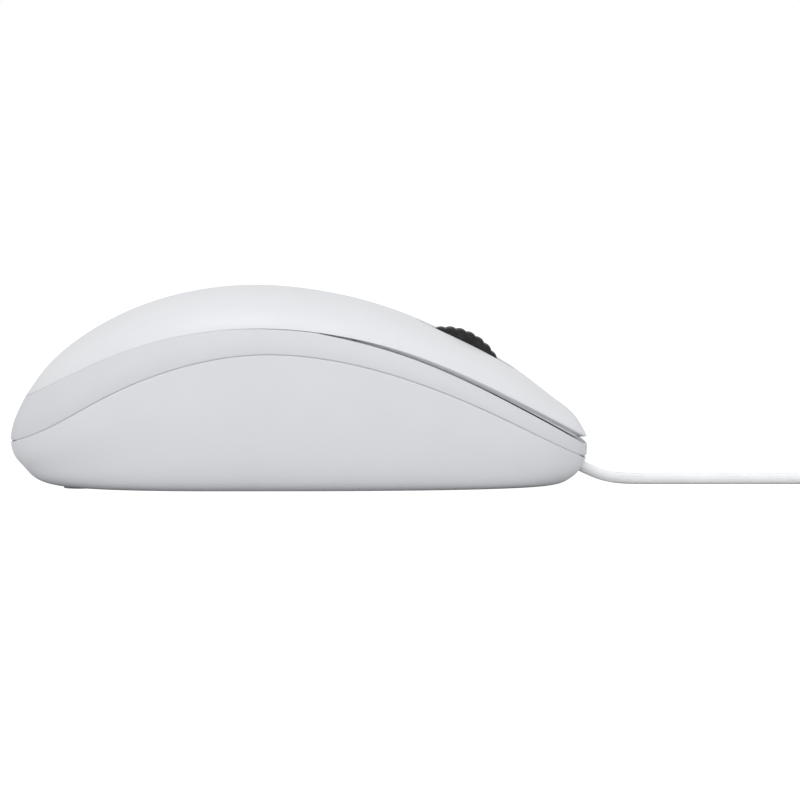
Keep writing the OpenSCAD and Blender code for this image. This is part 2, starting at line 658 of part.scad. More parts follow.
module detent_spring() {
    // A leaf that stands on the rear bar and leans on the hub's detent ring
    foot = [CARRIER_BACK + 1.2, CARRIER_BOTTOM + BAR_HEIGHT];
    reach = DETENT_RADIUS + 0.38;
    tip = [wheel_x - reach * cos(25), wheel_z - reach * sin(25)];
    color(STEEL) translate([0, LEFT_PLATE_Y - 0.6, 0]) rotate([90, 0, 0]) linear_extrude(1.2)
        union() {
            polygon([foot, foot + [0.3, 0], [foot.x + 0.6, tip.y - 1.6], [tip.x, tip.y - 0.15],
                     [tip.x, tip.y + 0.15], [foot.x + 0.4, tip.y - 1.3]]);
            translate(tip) circle(r = 0.3, $fn = 16);
        }
}

module return_spring() {
    turns = 5;
    wire_radius = 0.22;
    low = floor_top + SPRING_SEAT + wire_radius;
    rise = CARRIER_BOTTOM - wire_radius - low;
    steps = 10;
    color(STEEL) tube([for (i = [0 : turns * steps])
        let (share = i / (turns * steps), angle = i * 360 / steps)
        [spring_x + 1.8 * cos(angle), 1.8 * sin(angle), low + rise * share]], wire_radius, 1, 6);
}

// ---- Cable ----

// Tube swept along points; smooth puts more points on the curve through them
function along(p, i, t) =
    let (a = p[max(i - 1, 0)], b = p[i], c = p[i + 1], d = p[min(i + 2, len(p) - 1)])
    (2 * b + (c - a) * t + (2 * a - 5 * b + 4 * c - d) * t ^ 2
     + (3 * b - a - 3 * c + d) * t ^ 3) / 2;
function smooth(p, steps) = concat(
    [for (i = [0 : len(p) - 2]) for (k = [0 : steps - 1]) along(p, i, k / steps)],
    [p[len(p) - 1]]);

module tube(route, radius, steps, sides = 8) {
    p = smooth(route, steps);
    last = len(p) - 1;
    rings = [for (i = [0 : last])
        let (ahead = p[min(i + 1, last)] - p[max(i - 1, 0)], t = ahead / norm(ahead),
             side = cross([0, 0, 1], t), s = side / norm(side), up = cross(t, s))
        [for (k = [0 : sides - 1])
            p[i] + radius * (cos(k * 360 / sides) * s + sin(k * 360 / sides) * up)]];
    polyhedron(points = [for (ring = rings) each ring], faces = concat(
        [for (i = [0 : last - 1]) for (k = [0 : sides - 1])
            let (a = i * sides + k, b = i * sides + (k + 1) % sides, c = a + sides, d = b + sides)
            each [[a, d, b], [a, c, d]]],
        [[for (k = [0 : sides - 1]) k]],
        [[for (k = [sides - 1 : -1 : 0]) last * sides + k]]));
}

module cable_gland() {
    color([0.88, 0.89, 0.9]) on_exit_axis(GLAND_START) difference() {
        union() {
            cylinder(r = 1.7, h = GLAND_LENGTH);
            for (z = [0, GLAND_LENGTH - 1.2]) translate([0, 0, z]) cylinder(r = 2.4, h = 1.2);
        }
        translate([0, 0, -1]) cylinder(r = 0.9, h = GLAND_LENGTH + 2);
    }
}

module inner_cable() {
    color([0.8, 0.8, 0.82]) tube(INNER_ROUTE, 0.85, 2);
}

module cable_run() {
    color("white") tube(RUN_ROUTE, cable_diameter / 2, 2);
}

module cable_tail() {
    color("white") tube(TAIL_ROUTE, cable_diameter / 2, 2);
}

module cable_coil() {
    color("white") translate([COIL_CENTRE.x, COIL_CENTRE.y, TIE_THICKNESS]) rotate_extrude($fn = 96)
        translate([coil_inner, 0]) square([coil_outer - coil_inner, coil_height]);
}

module cable_tie() {
    width = coil_outer - coil_inner;
    middle = (coil_outer + coil_inner) / 2;
    color([0.85, 0.86, 0.88]) translate([COIL_CENTRE.x, COIL_CENTRE.y + middle, 0])
        translate([-2, 0, 0]) rotate([90, 0, 90]) linear_extrude(4) difference() {
            translate([-width / 2 - 1.4, 0]) square([width + 2.8, coil_height + 2 * TIE_THICKNESS]);
            translate([-width / 2 - 0.9, TIE_THICKNESS]) square([width + 1.8, coil_height]);
        }
}

// ---- Plug: it lies flat and points along -X ----

module plug_body() {
    front = PLUG_TAIL.x - RELIEF_LENGTH - PLUG_BODY.x;
    hidden = PLUG_SHELL.x - SHELL_SHOWN;
    color([0.93, 0.94, 0.95]) difference() {
        union() {
            translate([front, PLUG_TAIL.y, PLUG_TAIL.z]) rotate([0, 90, 0])
                linear_extrude(PLUG_BODY.x)
                    plug_section(PLUG_BODY.y, PLUG_BODY.z, 1.5);
            translate([front + PLUG_BODY.x, PLUG_TAIL.y, PLUG_TAIL.z]) rotate([0, 90, 0])
                cylinder(r1 = 3, r2 = 1.8, h = RELIEF_LENGTH);
        }
        translate([front - 1, PLUG_TAIL.y - PLUG_SHELL.y / 2, PLUG_TAIL.z - PLUG_SHELL.z / 2])
            cube([hidden + 1, PLUG_SHELL.y, PLUG_SHELL.z]);
    }
}

// Rectangle with round corners, lying across the plug
module plug_section(width, height, corner) {
    offset(r = corner) square([height - 2 * corner, width - 2 * corner], center = true);
}

module plug_shell() {
    tip = PLUG_TAIL.x - RELIEF_LENGTH - PLUG_BODY.x - SHELL_SHOWN;
    color(STEEL) translate([tip, PLUG_TAIL.y, PLUG_TAIL.z]) difference() {
        rotate([0, 90, 0]) linear_extrude(PLUG_SHELL.x) difference() {
            plug_section(PLUG_SHELL.y, PLUG_SHELL.z, 0.6);
            plug_section(PLUG_SHELL.y - 2 * SHELL_WALL, PLUG_SHELL.z - 2 * SHELL_WALL, 0.3);
        }
        for (side = [-1, 1]) translate([5.2, side * 3 - 1.2, -3]) cube([2.4, 2.4, 6]);
    }
}

module plug_insulator() {
    tip = PLUG_TAIL.x - RELIEF_LENGTH - PLUG_BODY.x - SHELL_SHOWN;
    color([0.92, 0.92, 0.9]) translate([tip + 0.6, PLUG_TAIL.y, PLUG_TAIL.z]) difference() {
        translate([0, -PLUG_SHELL.y / 2 + 2 * SHELL_WALL, -PLUG_SHELL.z / 2 + SHELL_WALL])
            cube([PLUG_SHELL.x - 0.6, PLUG_SHELL.y - 4 * SHELL_WALL, 1.9]);
        for (y = contact_places()) translate([0.6, y - 0.5, -0.35]) cube([8.4, 1, 1]);
    }
}

function contact_places() = [-3.5, -1, 1, 3.5];

module plug_contacts() {
    tip = PLUG_TAIL.x - RELIEF_LENGTH - PLUG_BODY.x - SHELL_SHOWN;
    color([0.85, 0.68, 0.3]) translate([tip + 0.6, PLUG_TAIL.y, PLUG_TAIL.z])
        for (y = contact_places()) translate([0.6, y - 0.5, -0.35]) cube([8.4, 1, 0.3]);
}

lower_case();
side_band();
palm_cover();
left_button();
right_button();
case_screw();
front_foot();
rear_foot();
label_plate();
circuit_board();
board_screws();
optical_sensor();
sensor_lens();
led();
led_clip();
left_switch();
right_switch();
middle_switch();
left_plunger();
right_plunger();
middle_plunger();
scroll_emitter();
scroll_receiver();
cable_header();
capacitor();
small_chips();
wheel_tyre();
wheel_hub();
wheel_carrier();
detent_spring();
return_spring();
cable_gland();
inner_cable();
cable_run();
cable_coil();
cable_tail();
cable_tie();
plug_body();
plug_shell();
plug_insulator();
plug_contacts();
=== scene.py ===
"""Looks of a wired desktop mouse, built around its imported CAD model.

Shapes are worked out in millimetres in the CAD model's frame (+X nose, +Y left, +Z up) and
turned into metres as each mesh is made.
"""
import math

import bmesh
import bpy
import numpy as np
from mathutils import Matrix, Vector


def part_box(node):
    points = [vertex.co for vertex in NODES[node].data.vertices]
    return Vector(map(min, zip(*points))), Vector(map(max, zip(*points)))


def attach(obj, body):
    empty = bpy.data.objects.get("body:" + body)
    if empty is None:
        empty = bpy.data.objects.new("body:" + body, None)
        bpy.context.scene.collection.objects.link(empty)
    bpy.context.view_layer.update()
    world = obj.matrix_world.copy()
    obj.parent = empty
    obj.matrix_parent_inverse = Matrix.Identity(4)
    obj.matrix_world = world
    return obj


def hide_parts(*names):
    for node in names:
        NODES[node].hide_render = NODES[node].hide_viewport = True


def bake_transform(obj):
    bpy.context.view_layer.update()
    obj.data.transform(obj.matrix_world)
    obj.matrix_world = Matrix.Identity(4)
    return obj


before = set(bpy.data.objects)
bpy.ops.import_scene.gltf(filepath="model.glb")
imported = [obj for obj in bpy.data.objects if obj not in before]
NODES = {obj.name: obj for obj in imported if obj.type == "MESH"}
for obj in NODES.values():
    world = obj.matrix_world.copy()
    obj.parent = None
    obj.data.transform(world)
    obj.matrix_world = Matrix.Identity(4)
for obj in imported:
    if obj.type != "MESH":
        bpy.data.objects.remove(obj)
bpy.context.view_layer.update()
MM = 0.001

# ---- The body's curves, in millimetres at full size ----

RIDGE = [[-53.5, 17.5], [-50.5, 21.8], [-45, 27.2], [-35, 33.3], [-22, 37.6], [-9.5, 39],
         [4, 37.9], [18, 34.4], [32, 28.4], [43, 22.2], [51, 16.1], [54.7, 12.6], [56.5, 9.5]]
COVER_EDGE = [[-53.5, 17.5], [-48, 20.4], [-38, 25.4], [-24, 30], [-8, 31.8], [8, 30.4],
              [22, 26.8], [36, 20.9], [46, 15.7], [52, 12.3], [56.5, 9.5]]
CASE_SEAM = [[-56.5, 8.7], [-50, 11.4], [-38, 18], [-24, 23.9], [-8, 26.8], [8, 25.5],
             [22, 21.7], [36, 16], [46, 11], [52, 7.9], [56.5, 5.6]]
WIDEST_X = -15
NOSE_SQUARENESS = 2.9
TAIL_SQUARENESS = 2.4
COVER_PLAN = np.array([27.4, -53.5, 56.5])
SEAM_PLAN = np.array([29.4, -56.5, 56.4])
CASE_RINGS = [[SEAM_PLAN, 1], [[30.7, -55.6, 55.4], 0.62], [[31, -53.7, 54.3], 0.36],
              [[30.6, -51.8, 52.7], 0.14], [[29.6, -50.2, 51.7], 0.05], [[27.6, -48.4, 50.5], 0]]
CROWN_SQUARENESS = 2.4
CROWN_SPAN = 0.965
CROWN_LIMIT = 0.999
GLIDE_HEIGHT = 0.45
FLOOR_TOP = GLIDE_HEIGHT + 1.95
WALL = 1.8
LEAN_POWER = 3
ROOT_X = 12

# Gap under the buttons' outer edge: it opens towards the nose. SEAM_GAP is the thin joint's
# own width, which fades in over SEAM_GAP_FADE behind the buttons.
GAP_START = 4
GAP_AT_NOSE = 1.35
GAP_GROWTH = 0.6
SEAM_GAP = 0.08
SEAM_GAP_START, SEAM_GAP_FADE = -16, 16

# Slit between the buttons, and the wheel's slot in it
SLIT_HALF = 0.35
SLOT_END_POWER, SLOT_SIDE_POWER = 6, 3
SLOT_X, SLOT_HALF_LENGTH, SLOT_HALF_WIDTH = 32.6, 9.4, 4.4

# The CAD model's own size sets the scale of every shell
CASE_LENGTH, CASE_WIDTH, CROWN_HEIGHT = 0.1129, 0.062, 0.039
case_low, case_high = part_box("lower_case")
STRETCH = np.array([round((case_high.x - case_low.x) / CASE_LENGTH, 3),
                    round((case_high.y - case_low.y) / CASE_WIDTH, 3),
                    round(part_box("palm_cover")[1].z / CROWN_HEIGHT, 2)])


def spline(points):
    """Smooth curve through points, as a function of the first number."""
    x, y = np.array(points, float).T
    count, h = len(x), np.diff(x)
    matrix, right = np.zeros((count, count)), np.zeros(count)
    matrix[0, 0] = matrix[-1, -1] = 1
    for i in range(1, count - 1):
        matrix[i, i - 1:i + 2] = h[i - 1], 2 * (h[i - 1] + h[i]), h[i]
        right[i] = 6 * ((y[i + 1] - y[i]) / h[i] - (y[i] - y[i - 1]) / h[i - 1])
    bend = np.linalg.solve(matrix, right)

    def at(q):
        q = np.clip(q, x[0], x[-1])
        i = np.clip(np.searchsorted(x, q) - 1, 0, count - 2)
        a, b, w = x[i + 1] - q, q - x[i], h[i]
        return ((bend[i] * a ** 3 + bend[i + 1] * b ** 3) / (6 * w)
                + (y[i] / w - bend[i] * w / 6) * a + (y[i + 1] / w - bend[i + 1] * w / 6) * b)
    return at


ridge_z, edge_z, seam_z = spline(RIDGE), spline(COVER_EDGE), spline(CASE_SEAM)


def joined(*parts):
    """Points from their coordinates, each an array or one number for all."""
    return np.stack(np.broadcast_arrays(*parts), -1)


def with_z(flat, z):
    """Points from plan points and their heights, or one height for all."""
    return np.concatenate([flat, np.broadcast_to(z, flat.shape[:-1])[..., None]], -1)


def end_of(plan, front):
    """x and squareness of a plan's nose if front, else of its tail."""
    return (np.where(front, plan[2], plan[1]),
            np.where(front, NOSE_SQUARENESS, TAIL_SQUARENESS))


def half_width(plan, x):
    """Half the width at x of a plan given as [half width, tail x, nose x]."""
    end, n = end_of(plan, x >= WIDEST_X)
    u = np.clip((x - WIDEST_X) / (end - WIDEST_X), 0, 1)
    return plan[0] * (1 - u ** n) ** (1 / n)


def end_x(plan, front, y):
    """x of a plan's outline at y, at its nose if front, else at its tail."""
    end, n = end_of(plan, front)
    return WIDEST_X + (end - WIDEST_X) * (1 - (np.abs(y) / plan[0]) ** n) ** (1 / n)


def squared_off(wave, squareness):
    """A cosine or sine, bent so that the circle it draws gets fuller corners."""
    return np.sign(wave) * np.abs(wave) ** (2 / squareness)


def ring_point(plan, angle, inset=0.0):
    """Point of a plan's outline: angle 0 is the nose, and it turns towards the left side."""
    c, s = np.cos(angle), np.sin(angle)
    end, n = end_of(plan, c >= 0)
    reach = np.abs(end - WIDEST_X) - inset
    return joined(WIDEST_X + reach * squared_off(c, n), (plan[0] - inset) * squared_off(s, n))


def crown_drop(t):
    """Share of the way from the ridge down to the covers' edge, at share t of the half width."""
    n, k = CROWN_SQUARENESS, CROWN_SPAN
    return ((1 - (1 - np.minimum(k * t, CROWN_LIMIT) ** n) ** (1 / n))
            / (1 - (1 - k ** n) ** (1 / n)))


def crown_z(p):
    """Height of the covers' outer face over plan point p."""
    x, y = p[..., 0], p[..., 1]
    top, low = ridge_z(x), edge_z(x)
    t = np.minimum(1, np.abs(y) / np.maximum(0.01, half_width(COVER_PLAN, x)))
    return top - (top - low) * crown_drop(t)


def crown_point(p, depth):
    """Point of the covers under plan point p: down in the middle and inwards at the edge."""
    x, y = p[..., 0], p[..., 1]
    end, n = end_of(COVER_PLAN, x >= WIDEST_X)
    out = np.minimum(1, np.abs((x - WIDEST_X) / (end - WIDEST_X)) ** n
                     + (np.abs(y) / COVER_PLAN[0]) ** n)
    lean = out ** LEAN_POWER
    inwards = unit(joined(WIDEST_X - x, -y))
    flat = p + depth * lean[..., None] * inwards
    return with_z(flat, crown_z(p) - depth * np.sqrt(1 - lean ** 2))


def button_gap(x):
    """Height of the gap between a cover's lower edge and the band."""
    share = np.maximum(0, (x - GAP_START) / (COVER_PLAN[2] - GAP_START))
    joint = SEAM_GAP * smoothstep((x - SEAM_GAP_START) / SEAM_GAP_FADE)
    return GAP_AT_NOSE * share ** GAP_GROWTH + joint


def slit_edge(x):
    """Distance from the middle line to a button's inner side."""
    u = np.minimum(1, np.abs(x - SLOT_X) / SLOT_HALF_LENGTH)
    slot = SLOT_HALF_WIDTH * (1 - u ** SLOT_END_POWER) ** (1 / SLOT_SIDE_POWER)
    return np.maximum(SLIT_HALF, slot)


def unit(v):
    return v / np.maximum(np.linalg.norm(v, axis=-1, keepdims=True), 1e-9)


def smoothstep(t):
    t = np.clip(t, 0, 1)
    return t * t * (3 - 2 * t)


def run_along(points):
    """Distance along a line of points, at each of them."""
    return np.concatenate([[0], np.cumsum(np.linalg.norm(np.diff(points, axis=0), axis=1))])


def bend_round(a, corner, b, steps):
    """Points of a rounded corner between a and b, both included."""
    t = np.linspace(0, 1, steps + 1)
    return [(1 - s) ** 2 * a + 2 * s * (1 - s) * corner + s ** 2 * b for s in t]


# ---- Meshes ----

SHELL_SHARP = 38.0
MERGE_DISTANCE, SPECK_DISTANCE = 2e-7, 1e-7


def add_object(name, data):
    made = bpy.data.objects.new(name, data)
    bpy.context.scene.collection.objects.link(made)
    return made


def mesh_piece(name, points, faces, material, sharp=SHELL_SHARP, scale=(1, 1, 1)):
    """A closed mesh from points in millimetres, smooth but for its sharp edges."""
    mesh = bpy.data.meshes.new(name)
    mesh.from_pydata((np.asarray(points, float) * np.asarray(scale) * MM).tolist(), [], faces)
    bm = bmesh.new()
    bm.from_mesh(mesh)
    bmesh.ops.remove_doubles(bm, verts=bm.verts, dist=MERGE_DISTANCE)
    bmesh.ops.dissolve_degenerate(bm, edges=bm.edges, dist=SPECK_DISTANCE)
    bmesh.ops.recalc_face_normals(bm, faces=bm.faces)
    if bm.calc_volume(signed=True) < 0:
        bmesh.ops.reverse_faces(bm, faces=bm.faces)
    bm.to_mesh(mesh)
    bm.free()
    mesh.shade_smooth()
    mesh.set_sharp_from_angle(angle=math.radians(sharp))
    piece = add_object(name, mesh)
    mesh.materials.append(material)
    return piece


class Build:
    """Collects the points and faces of one mesh."""

    def __init__(self):
        self.points, self.faces = [], []

    def add(self, points):
        """Adds points and returns their numbers."""
        start = len(self.points)
        self.points.extend(np.asarray(points, float).reshape(-1, 3))
        return start + np.arange(len(self.points) - start)

    def grid(self, ids):
        """Fills a grid of point numbers with four-sided faces."""
        quads = np.stack([ids[:-1, :-1], ids[:-1, 1:], ids[1:, 1:], ids[1:, :-1]], -1)
        self.faces += quads.reshape(-1, 4).tolist()

    def strip(self, one, two):
        """Joins two closed rings of point numbers."""
        self.faces += np.stack([one, np.roll(one, -1), np.roll(two, -1), two], -1).tolist()

    def cap(self, ids):
        self.faces.append(ids.tolist())

    def loft(self, rings, ends="cap"):
        """Joins closed rings of points; the ends are capped, or joined to each other."""
        ids = [self.add(ring) for ring in rings]
        for one, two in zip(ids, ids[1:]):
            self.strip(one, two)
        if ends == "join":
            self.strip(ids[-1], ids[0])
        else:
            self.cap(ids[0])
            self.cap(ids[-1][::-1])

    def piece(self, name, material, **options):
        return mesh_piece(name, self.points, self.faces, material, **options)


def lofted(name, rings, material, ends="cap", **options):
    b = Build()
    b.loft(rings, ends)
    return b.piece(name, material, **options)


def apply_modifiers(piece):
    evaluated = piece.evaluated_get(bpy.context.evaluated_depsgraph_get())
    mesh = bpy.data.meshes.new_from_object(evaluated)
    piece.modifiers.clear()
    piece.data = mesh


# ---- Materials ----

def srgb(r, g, b):
    return tuple(((v / 255 + 0.055) / 1.055) ** 2.4 for v in (r, g, b)) + (1,)


class Shader:
    """A material whose colour, roughness and surface come from object-space textures."""

    def __init__(self, name, roughness=0.5, metallic=0.0, **sockets):
        self.material = bpy.data.materials.new(name)
        self.material.use_nodes = True
        self.tree = self.material.node_tree
        self.bsdf = self.tree.nodes["Principled BSDF"]
        for key, value in dict(sockets, Roughness=roughness, Metallic=metallic).items():
            self.set(self.bsdf.inputs[key.replace("_", " ")], value)
        self.place = self.node("TexCoord").outputs["Object"]
        self.normal = None

    def set(self, socket, value):
        """Sets an input to a number or colour, or links it to a node's output."""
        if isinstance(value, bpy.types.NodeSocket):
            self.tree.links.new(value, socket)
        else:
            socket.default_value = value

    def node(self, kind, **inputs):
        made = self.tree.nodes.new("ShaderNode" + kind)
        for key, value in inputs.items():
            self.set(made.inputs[key.replace("_", " ")], value)
        return made

    def noise(self, size, detail=2.0, scale=(1, 1, 1)):
        """Cloudy noise whose patches are about `size` millimetres across."""
        place = self.node("Mapping", Vector=self.place, Scale=scale).outputs["Vector"]
        return self.node("TexNoise", Vector=place, Scale=1 / (size * MM),
                         Detail=detail).outputs["Fac"]

    def remap(self, value, low, high, to_low=0.0, to_high=1.0):
        return self.node("MapRange", Value=value, From_Min=low, From_Max=high, To_Min=to_low,
                         To_Max=to_high).outputs["Result"]

    def clouds(self, size, detail, low=0.0, high=1.0):
        """Cloudy noise, spread out from low to high."""
        return self.remap(self.noise(size, detail), 0.3, 0.7, low, high)

    def mix(self, factor, a, b):
        node = self.node("Mix")
        node.data_type = "RGBA"
        for socket, value in (("Factor", factor), (6, a), (7, b)):
            self.set(node.inputs[socket], value)
        return node.outputs[2]

    def colour(self, value):
        self.set(self.bsdf.inputs["Base Color"], value)

    def rough(self, value):
        self.set(self.bsdf.inputs["Roughness"], value)

    def bump(self, height, distance, strength=1.0):
        """Adds relief `distance` millimetres deep."""
        node = self.node("Bump", Height=height, Distance=distance * MM, Strength=strength)
        if self.normal is not None:
            self.set(node.inputs["Normal"], self.normal)
        self.normal = node.outputs["Normal"]
        self.set(self.bsdf.inputs["Normal"], self.normal)

    def pointiness(self):
        return self.node("NewGeometry").outputs["Pointiness"]

    def edges(self, low=0.52, high=0.6):
        """1 on outer edges, 0 on flat and hollow places."""
        return self.remap(self.pointiness(), low, high)

    def hollows(self, low=0.4, high=0.49):
        """1 in hollows, 0 on flat places and outer edges."""
        return self.remap(self.pointiness(), low, high, 1, 0)


def shade(colour, factor):
    """The colour, lighter if factor is over 1 and darker if it is under."""
    return tuple(min(1, v * factor) for v in colour[:3]) + (1,)


def moulded(name, colour, roughness, grain=0.22, depth=0.006, mottle=0.012, wear_and_shade=0.1,
            cloud=14.0, **sockets):
    """Moulded plastic: a fine sandblasted texture, faint clouding, paler edges, and painted shade
    with a trace of dirt darkening the hollows."""
    s = Shader(name, roughness, **sockets)
    body = s.mix(s.clouds(cloud, 3), shade(colour, 1 - mottle), shade(colour, 1 + mottle))
    specks = s.remap(s.noise(grain * 2.2, 1), 0.62, 0.8, 0, 0.5)
    body = s.mix(specks, body, shade(colour, 1 - 3 * mottle))
    body = s.mix(s.remap(s.edges(), 0, 1, 0, wear_and_shade), body, shade(colour, 1.12))
    # Painted shade, with a trace of dirt: the hollows are darkened
    body = s.mix(s.remap(s.hollows(), 0, 1, 0, wear_and_shade), body, shade(colour, 0.7))
    s.colour(body)
    s.rough(s.clouds(cloud * 0.35, 4, roughness - 0.05, roughness + 0.05))
    s.bump(s.noise(grain, 2), depth)
    s.bump(s.noise(grain * 14, 2), depth * 1.5, 0.6)
    return s.material


def rubber(name, colour):
    """Dull rubber with a little dust, paler where it is worn."""
    s = Shader(name, 0.55, Specular_IOR_Level=0.35)
    dust = s.remap(s.noise(1.1, 4), 0.5, 0.75, 0, 0.55)
    body = s.mix(dust, colour, shade(colour, 2.0))
    s.colour(s.mix(s.remap(s.edges(0.5, 0.58), 0, 1, 0, 0.5), body, shade(colour, 2.6)))
    s.rough(s.clouds(0.8, 3, 0.42, 0.68))
    s.bump(s.noise(0.16, 3), 0.012)
    s.bump(s.noise(0.9, 2), 0.02, 0.5)
    return s.material


def cable_skin(name, colour):
    """Smooth, slightly wavy cable jacket."""
    s = Shader(name, 0.36, Specular_IOR_Level=0.5)
    s.colour(s.mix(s.clouds(6, 3), shade(colour, 0.96), shade(colour, 1.03)))
    s.rough(s.clouds(1.2, 4, 0.3, 0.44))
    s.bump(s.noise(0.35, 2), 0.006)
    s.bump(s.noise(3.5, 2), 0.02, 0.5)
    return s.material


def metal(name, colour, roughness=0.25, brush=(1, 1, 1), scratch=0.5):
    """Metal with fine scratches, drawn out along an axis by a low number in brush."""
    s = Shader(name, roughness, 1.0)
    lines = s.noise(0.12, 4, brush)
    stain = s.remap(s.noise(2.2, 4), 0.45, 0.75)
    body = s.mix(stain, colour, shade(colour, 0.8))
    s.colour(s.mix(s.remap(s.edges(), 0, 1, 0, 0.5), body, shade(colour, 1.15)))
    s.rough(s.remap(lines, 0.3, 0.7, roughness - 0.08, roughness + 0.15))
    s.bump(lines, 0.004, scratch)
    return s.material


def board_mask(name):
    """Green solder mask over copper tracks, with glass weave under it."""
    s = Shader(name, 0.28, Coat_Weight=0.35)
    tracks = s.node("TexBrick", Vector=s.place, Scale=260.0, Mortar_Size=0.035, Bias=0.1)
    green, copper = srgb(18, 84, 48), srgb(34, 118, 66)
    weave = s.mix(s.remap(s.noise(0.7, 2, (3, 1, 1)), 0.35, 0.65), green, shade(green, 1.18))
    s.colour(s.mix(tracks.outputs["Fac"], weave, copper))
    s.bump(tracks.outputs["Fac"], 0.035, 0.7)
    s.rough(s.clouds(3, 3, 0.2, 0.36))
    return s.material


def clear(name, colour, roughness=0.06):
    """Clear moulding with faint smudges."""
    s = Shader(name, roughness, Transmission_Weight=0.85, IOR=1.49)
    s.colour(s.mix(s.clouds(3, 2), colour, shade(colour, 0.95)))
    s.rough(s.remap(s.noise(0.8, 4), 0.4, 0.8, roughness, roughness + 0.12))
    s.bump(s.noise(1.6, 2), 0.01, 0.4)
    return s.material


def glide(name):
    """Slippery foot material, with fine scratches from sliding both ways."""
    s = Shader(name, 0.4)
    colour = srgb(206, 208, 211)
    along = s.noise(0.2, 3, (0.08, 1, 1))
    across = s.noise(0.2, 3, (1, 0.08, 1))
    worn = s.mix(s.remap(along, 0.58, 0.74), colour, shade(colour, 0.86))
    s.colour(s.mix(s.remap(across, 0.6, 0.76), worn, shade(colour, 0.78)))
    s.rough(s.remap(along, 0.35, 0.7, 0.28, 0.55))
    s.bump(along, 0.01, 0.6)
    s.bump(across, 0.01, 0.6)
    return s.material


def paper(name):
    """Blank satin label with fine printed rules."""
    s = Shader(name, 0.5)
    rules = s.node("TexWave", Vector=s.place, Scale=105.0)
    rules.bands_direction = "Y"
    white = srgb(222, 224, 226)
    base = s.mix(s.clouds(0.6, 3), shade(white, 0.94), white)
    s.colour(s.mix(s.remap(rules.outputs["Fac"], 0.985, 0.99, 0, 0.55), base,
                   srgb(120, 124, 130)))
    s.rough(s.clouds(0.9, 3, 0.38, 0.55))
    s.bump(s.noise(0.25, 3), 0.006)
    return s.material


cover_white = moulded("cover_white", srgb(219, 221, 224), 0.42, depth=0.005,
                      Specular_IOR_Level=0.35)
case_white = moulded("case_white", srgb(214, 216, 220), 0.48, grain=0.26, depth=0.008,
                     Specular_IOR_Level=0.3)
band_white = moulded("band_white", srgb(209, 211, 215), 0.48, grain=0.26, depth=0.008,
                     Specular_IOR_Level=0.3)
carrier_white = moulded("carrier_white", srgb(205, 207, 209), 0.5)
hub_grey = moulded("hub_grey", srgb(178, 181, 186), 0.4)
plug_white = moulded("plug_white", srgb(226, 228, 231), 0.46, grain=0.3, depth=0.012)
chip_black = moulded("chip_black", srgb(38, 38, 41), 0.5, grain=0.15, depth=0.01, mottle=0.08)
header_ivory = moulded("header_ivory", srgb(224, 218, 202), 0.48)
plunger_brown = moulded("plunger_brown", srgb(176, 86, 46), 0.45, mottle=0.04)
capacitor_sleeve = moulded("capacitor_sleeve", srgb(40, 46, 74), 0.3, mottle=0.05)
tie_grey = moulded("tie_grey", srgb(212, 214, 218), 0.5, grain=0.3, depth=0.012)
tyre_rubber = rubber("tyre_rubber", srgb(14, 14, 15))
cable_white = cable_skin("cable_white", srgb(238, 239, 241))
steel = metal("steel", srgb(196, 198, 202), 0.3)
plug_steel = metal("plug_steel", srgb(205, 206, 208), 0.26, (0.06, 1, 1))
contact_gold = metal("contact_gold", srgb(222, 184, 98), 0.22)
board_green = board_mask("board_green")
lens_clear = clear("lens_clear", srgb(236, 242, 246))
led_red = clear("led_red", srgb(226, 40, 30), 0.1)
foot_white = glide("foot_white")
label_white = paper("label_white")

# ---- Camera: square to the right-hand side, looking slightly down ----

VIEW_WIDTH = 0.15694
SENSOR = 36.0
CAMERA_DISTANCE = 1.5
CAMERA_RISE = math.radians(3.3)
CLIP_END = 40
AIM = Vector((0.0198, 0, 0.0165))
camera_data = bpy.data.cameras.new("Camera")
camera_data.sensor_width = SENSOR
camera_data.lens = SENSOR * CAMERA_DISTANCE / VIEW_WIDTH
camera_data.clip_end = CLIP_END
camera = add_object("Camera", camera_data)
camera.location = AIM + CAMERA_DISTANCE * Vector((0, -math.cos(CAMERA_RISE),
                                                  math.sin(CAMERA_RISE)))
camera.rotation_euler = (math.pi / 2 - CAMERA_RISE, 0, 0)
bpy.context.scene.camera = camera

# ---- Cable, plug and tie ----

CABLE_RADIUS = 1.1
EXIT = (55.6, 0, 3.45)
RUN_ROUTE = [[52.4, 0, 5], [54, 0, 4.25], [55.6, 0, 3.45], [58.4, 0, 2.2], [60.9, 0, 1.5],
             [63.3, 0, 1.2], [66, 0, 1.1], [74, 0, 1.1], [84, 0, 1.1], [94, 0, 1.1],
             [103, -0.6, 1.1], [111, -2.4, 1.1], [118, -4.6, 1.3], [123, -6, 1.5]]
TAIL_ROUTE = [[133, -6.6, 8.1], [138, -6.7, 6.6], [142, -7, 4.6], [146, -8.3, 2.6],
              [149, -11, 1.4], [150.2, -14, 1.1], [149, -17.6, 1.5], [145.4, -20.3, 2.9],
              [141, -21, 4]]
COIL_CENTRE = (128, 11.8)
COIL_RADIUS = 18.3
COIL_PITCH = 2.25
COIL_COLUMNS = 5
COIL_LAYERS = 4
TIE_THICKNESS = 0.5
TURN_STEPS = 48
COIL_INNER = COIL_RADIUS - COIL_PITCH * (COIL_COLUMNS - 1)
RUN_STEPS, TAIL_STEPS = 4, 5
JACKET_FINENESS = 6


def smooth(points, steps):
    """Curve through points, with `steps` parts between each pair."""
    p = np.array(points, float)
    out = []
    for i in range(len(p) - 1):
        a, b, c, d = p[max(i - 1, 0)], p[i], p[i + 1], p[min(i + 2, len(p) - 1)]
        for t in np.arange(steps) / steps:
            out.append((2 * b + (c - a) * t + (2 * a - 5 * b + 4 * c - d) * t ** 2
                        + (3 * b - a - 3 * c + d) * t ** 3) / 2)
    return out + [p[-1]]


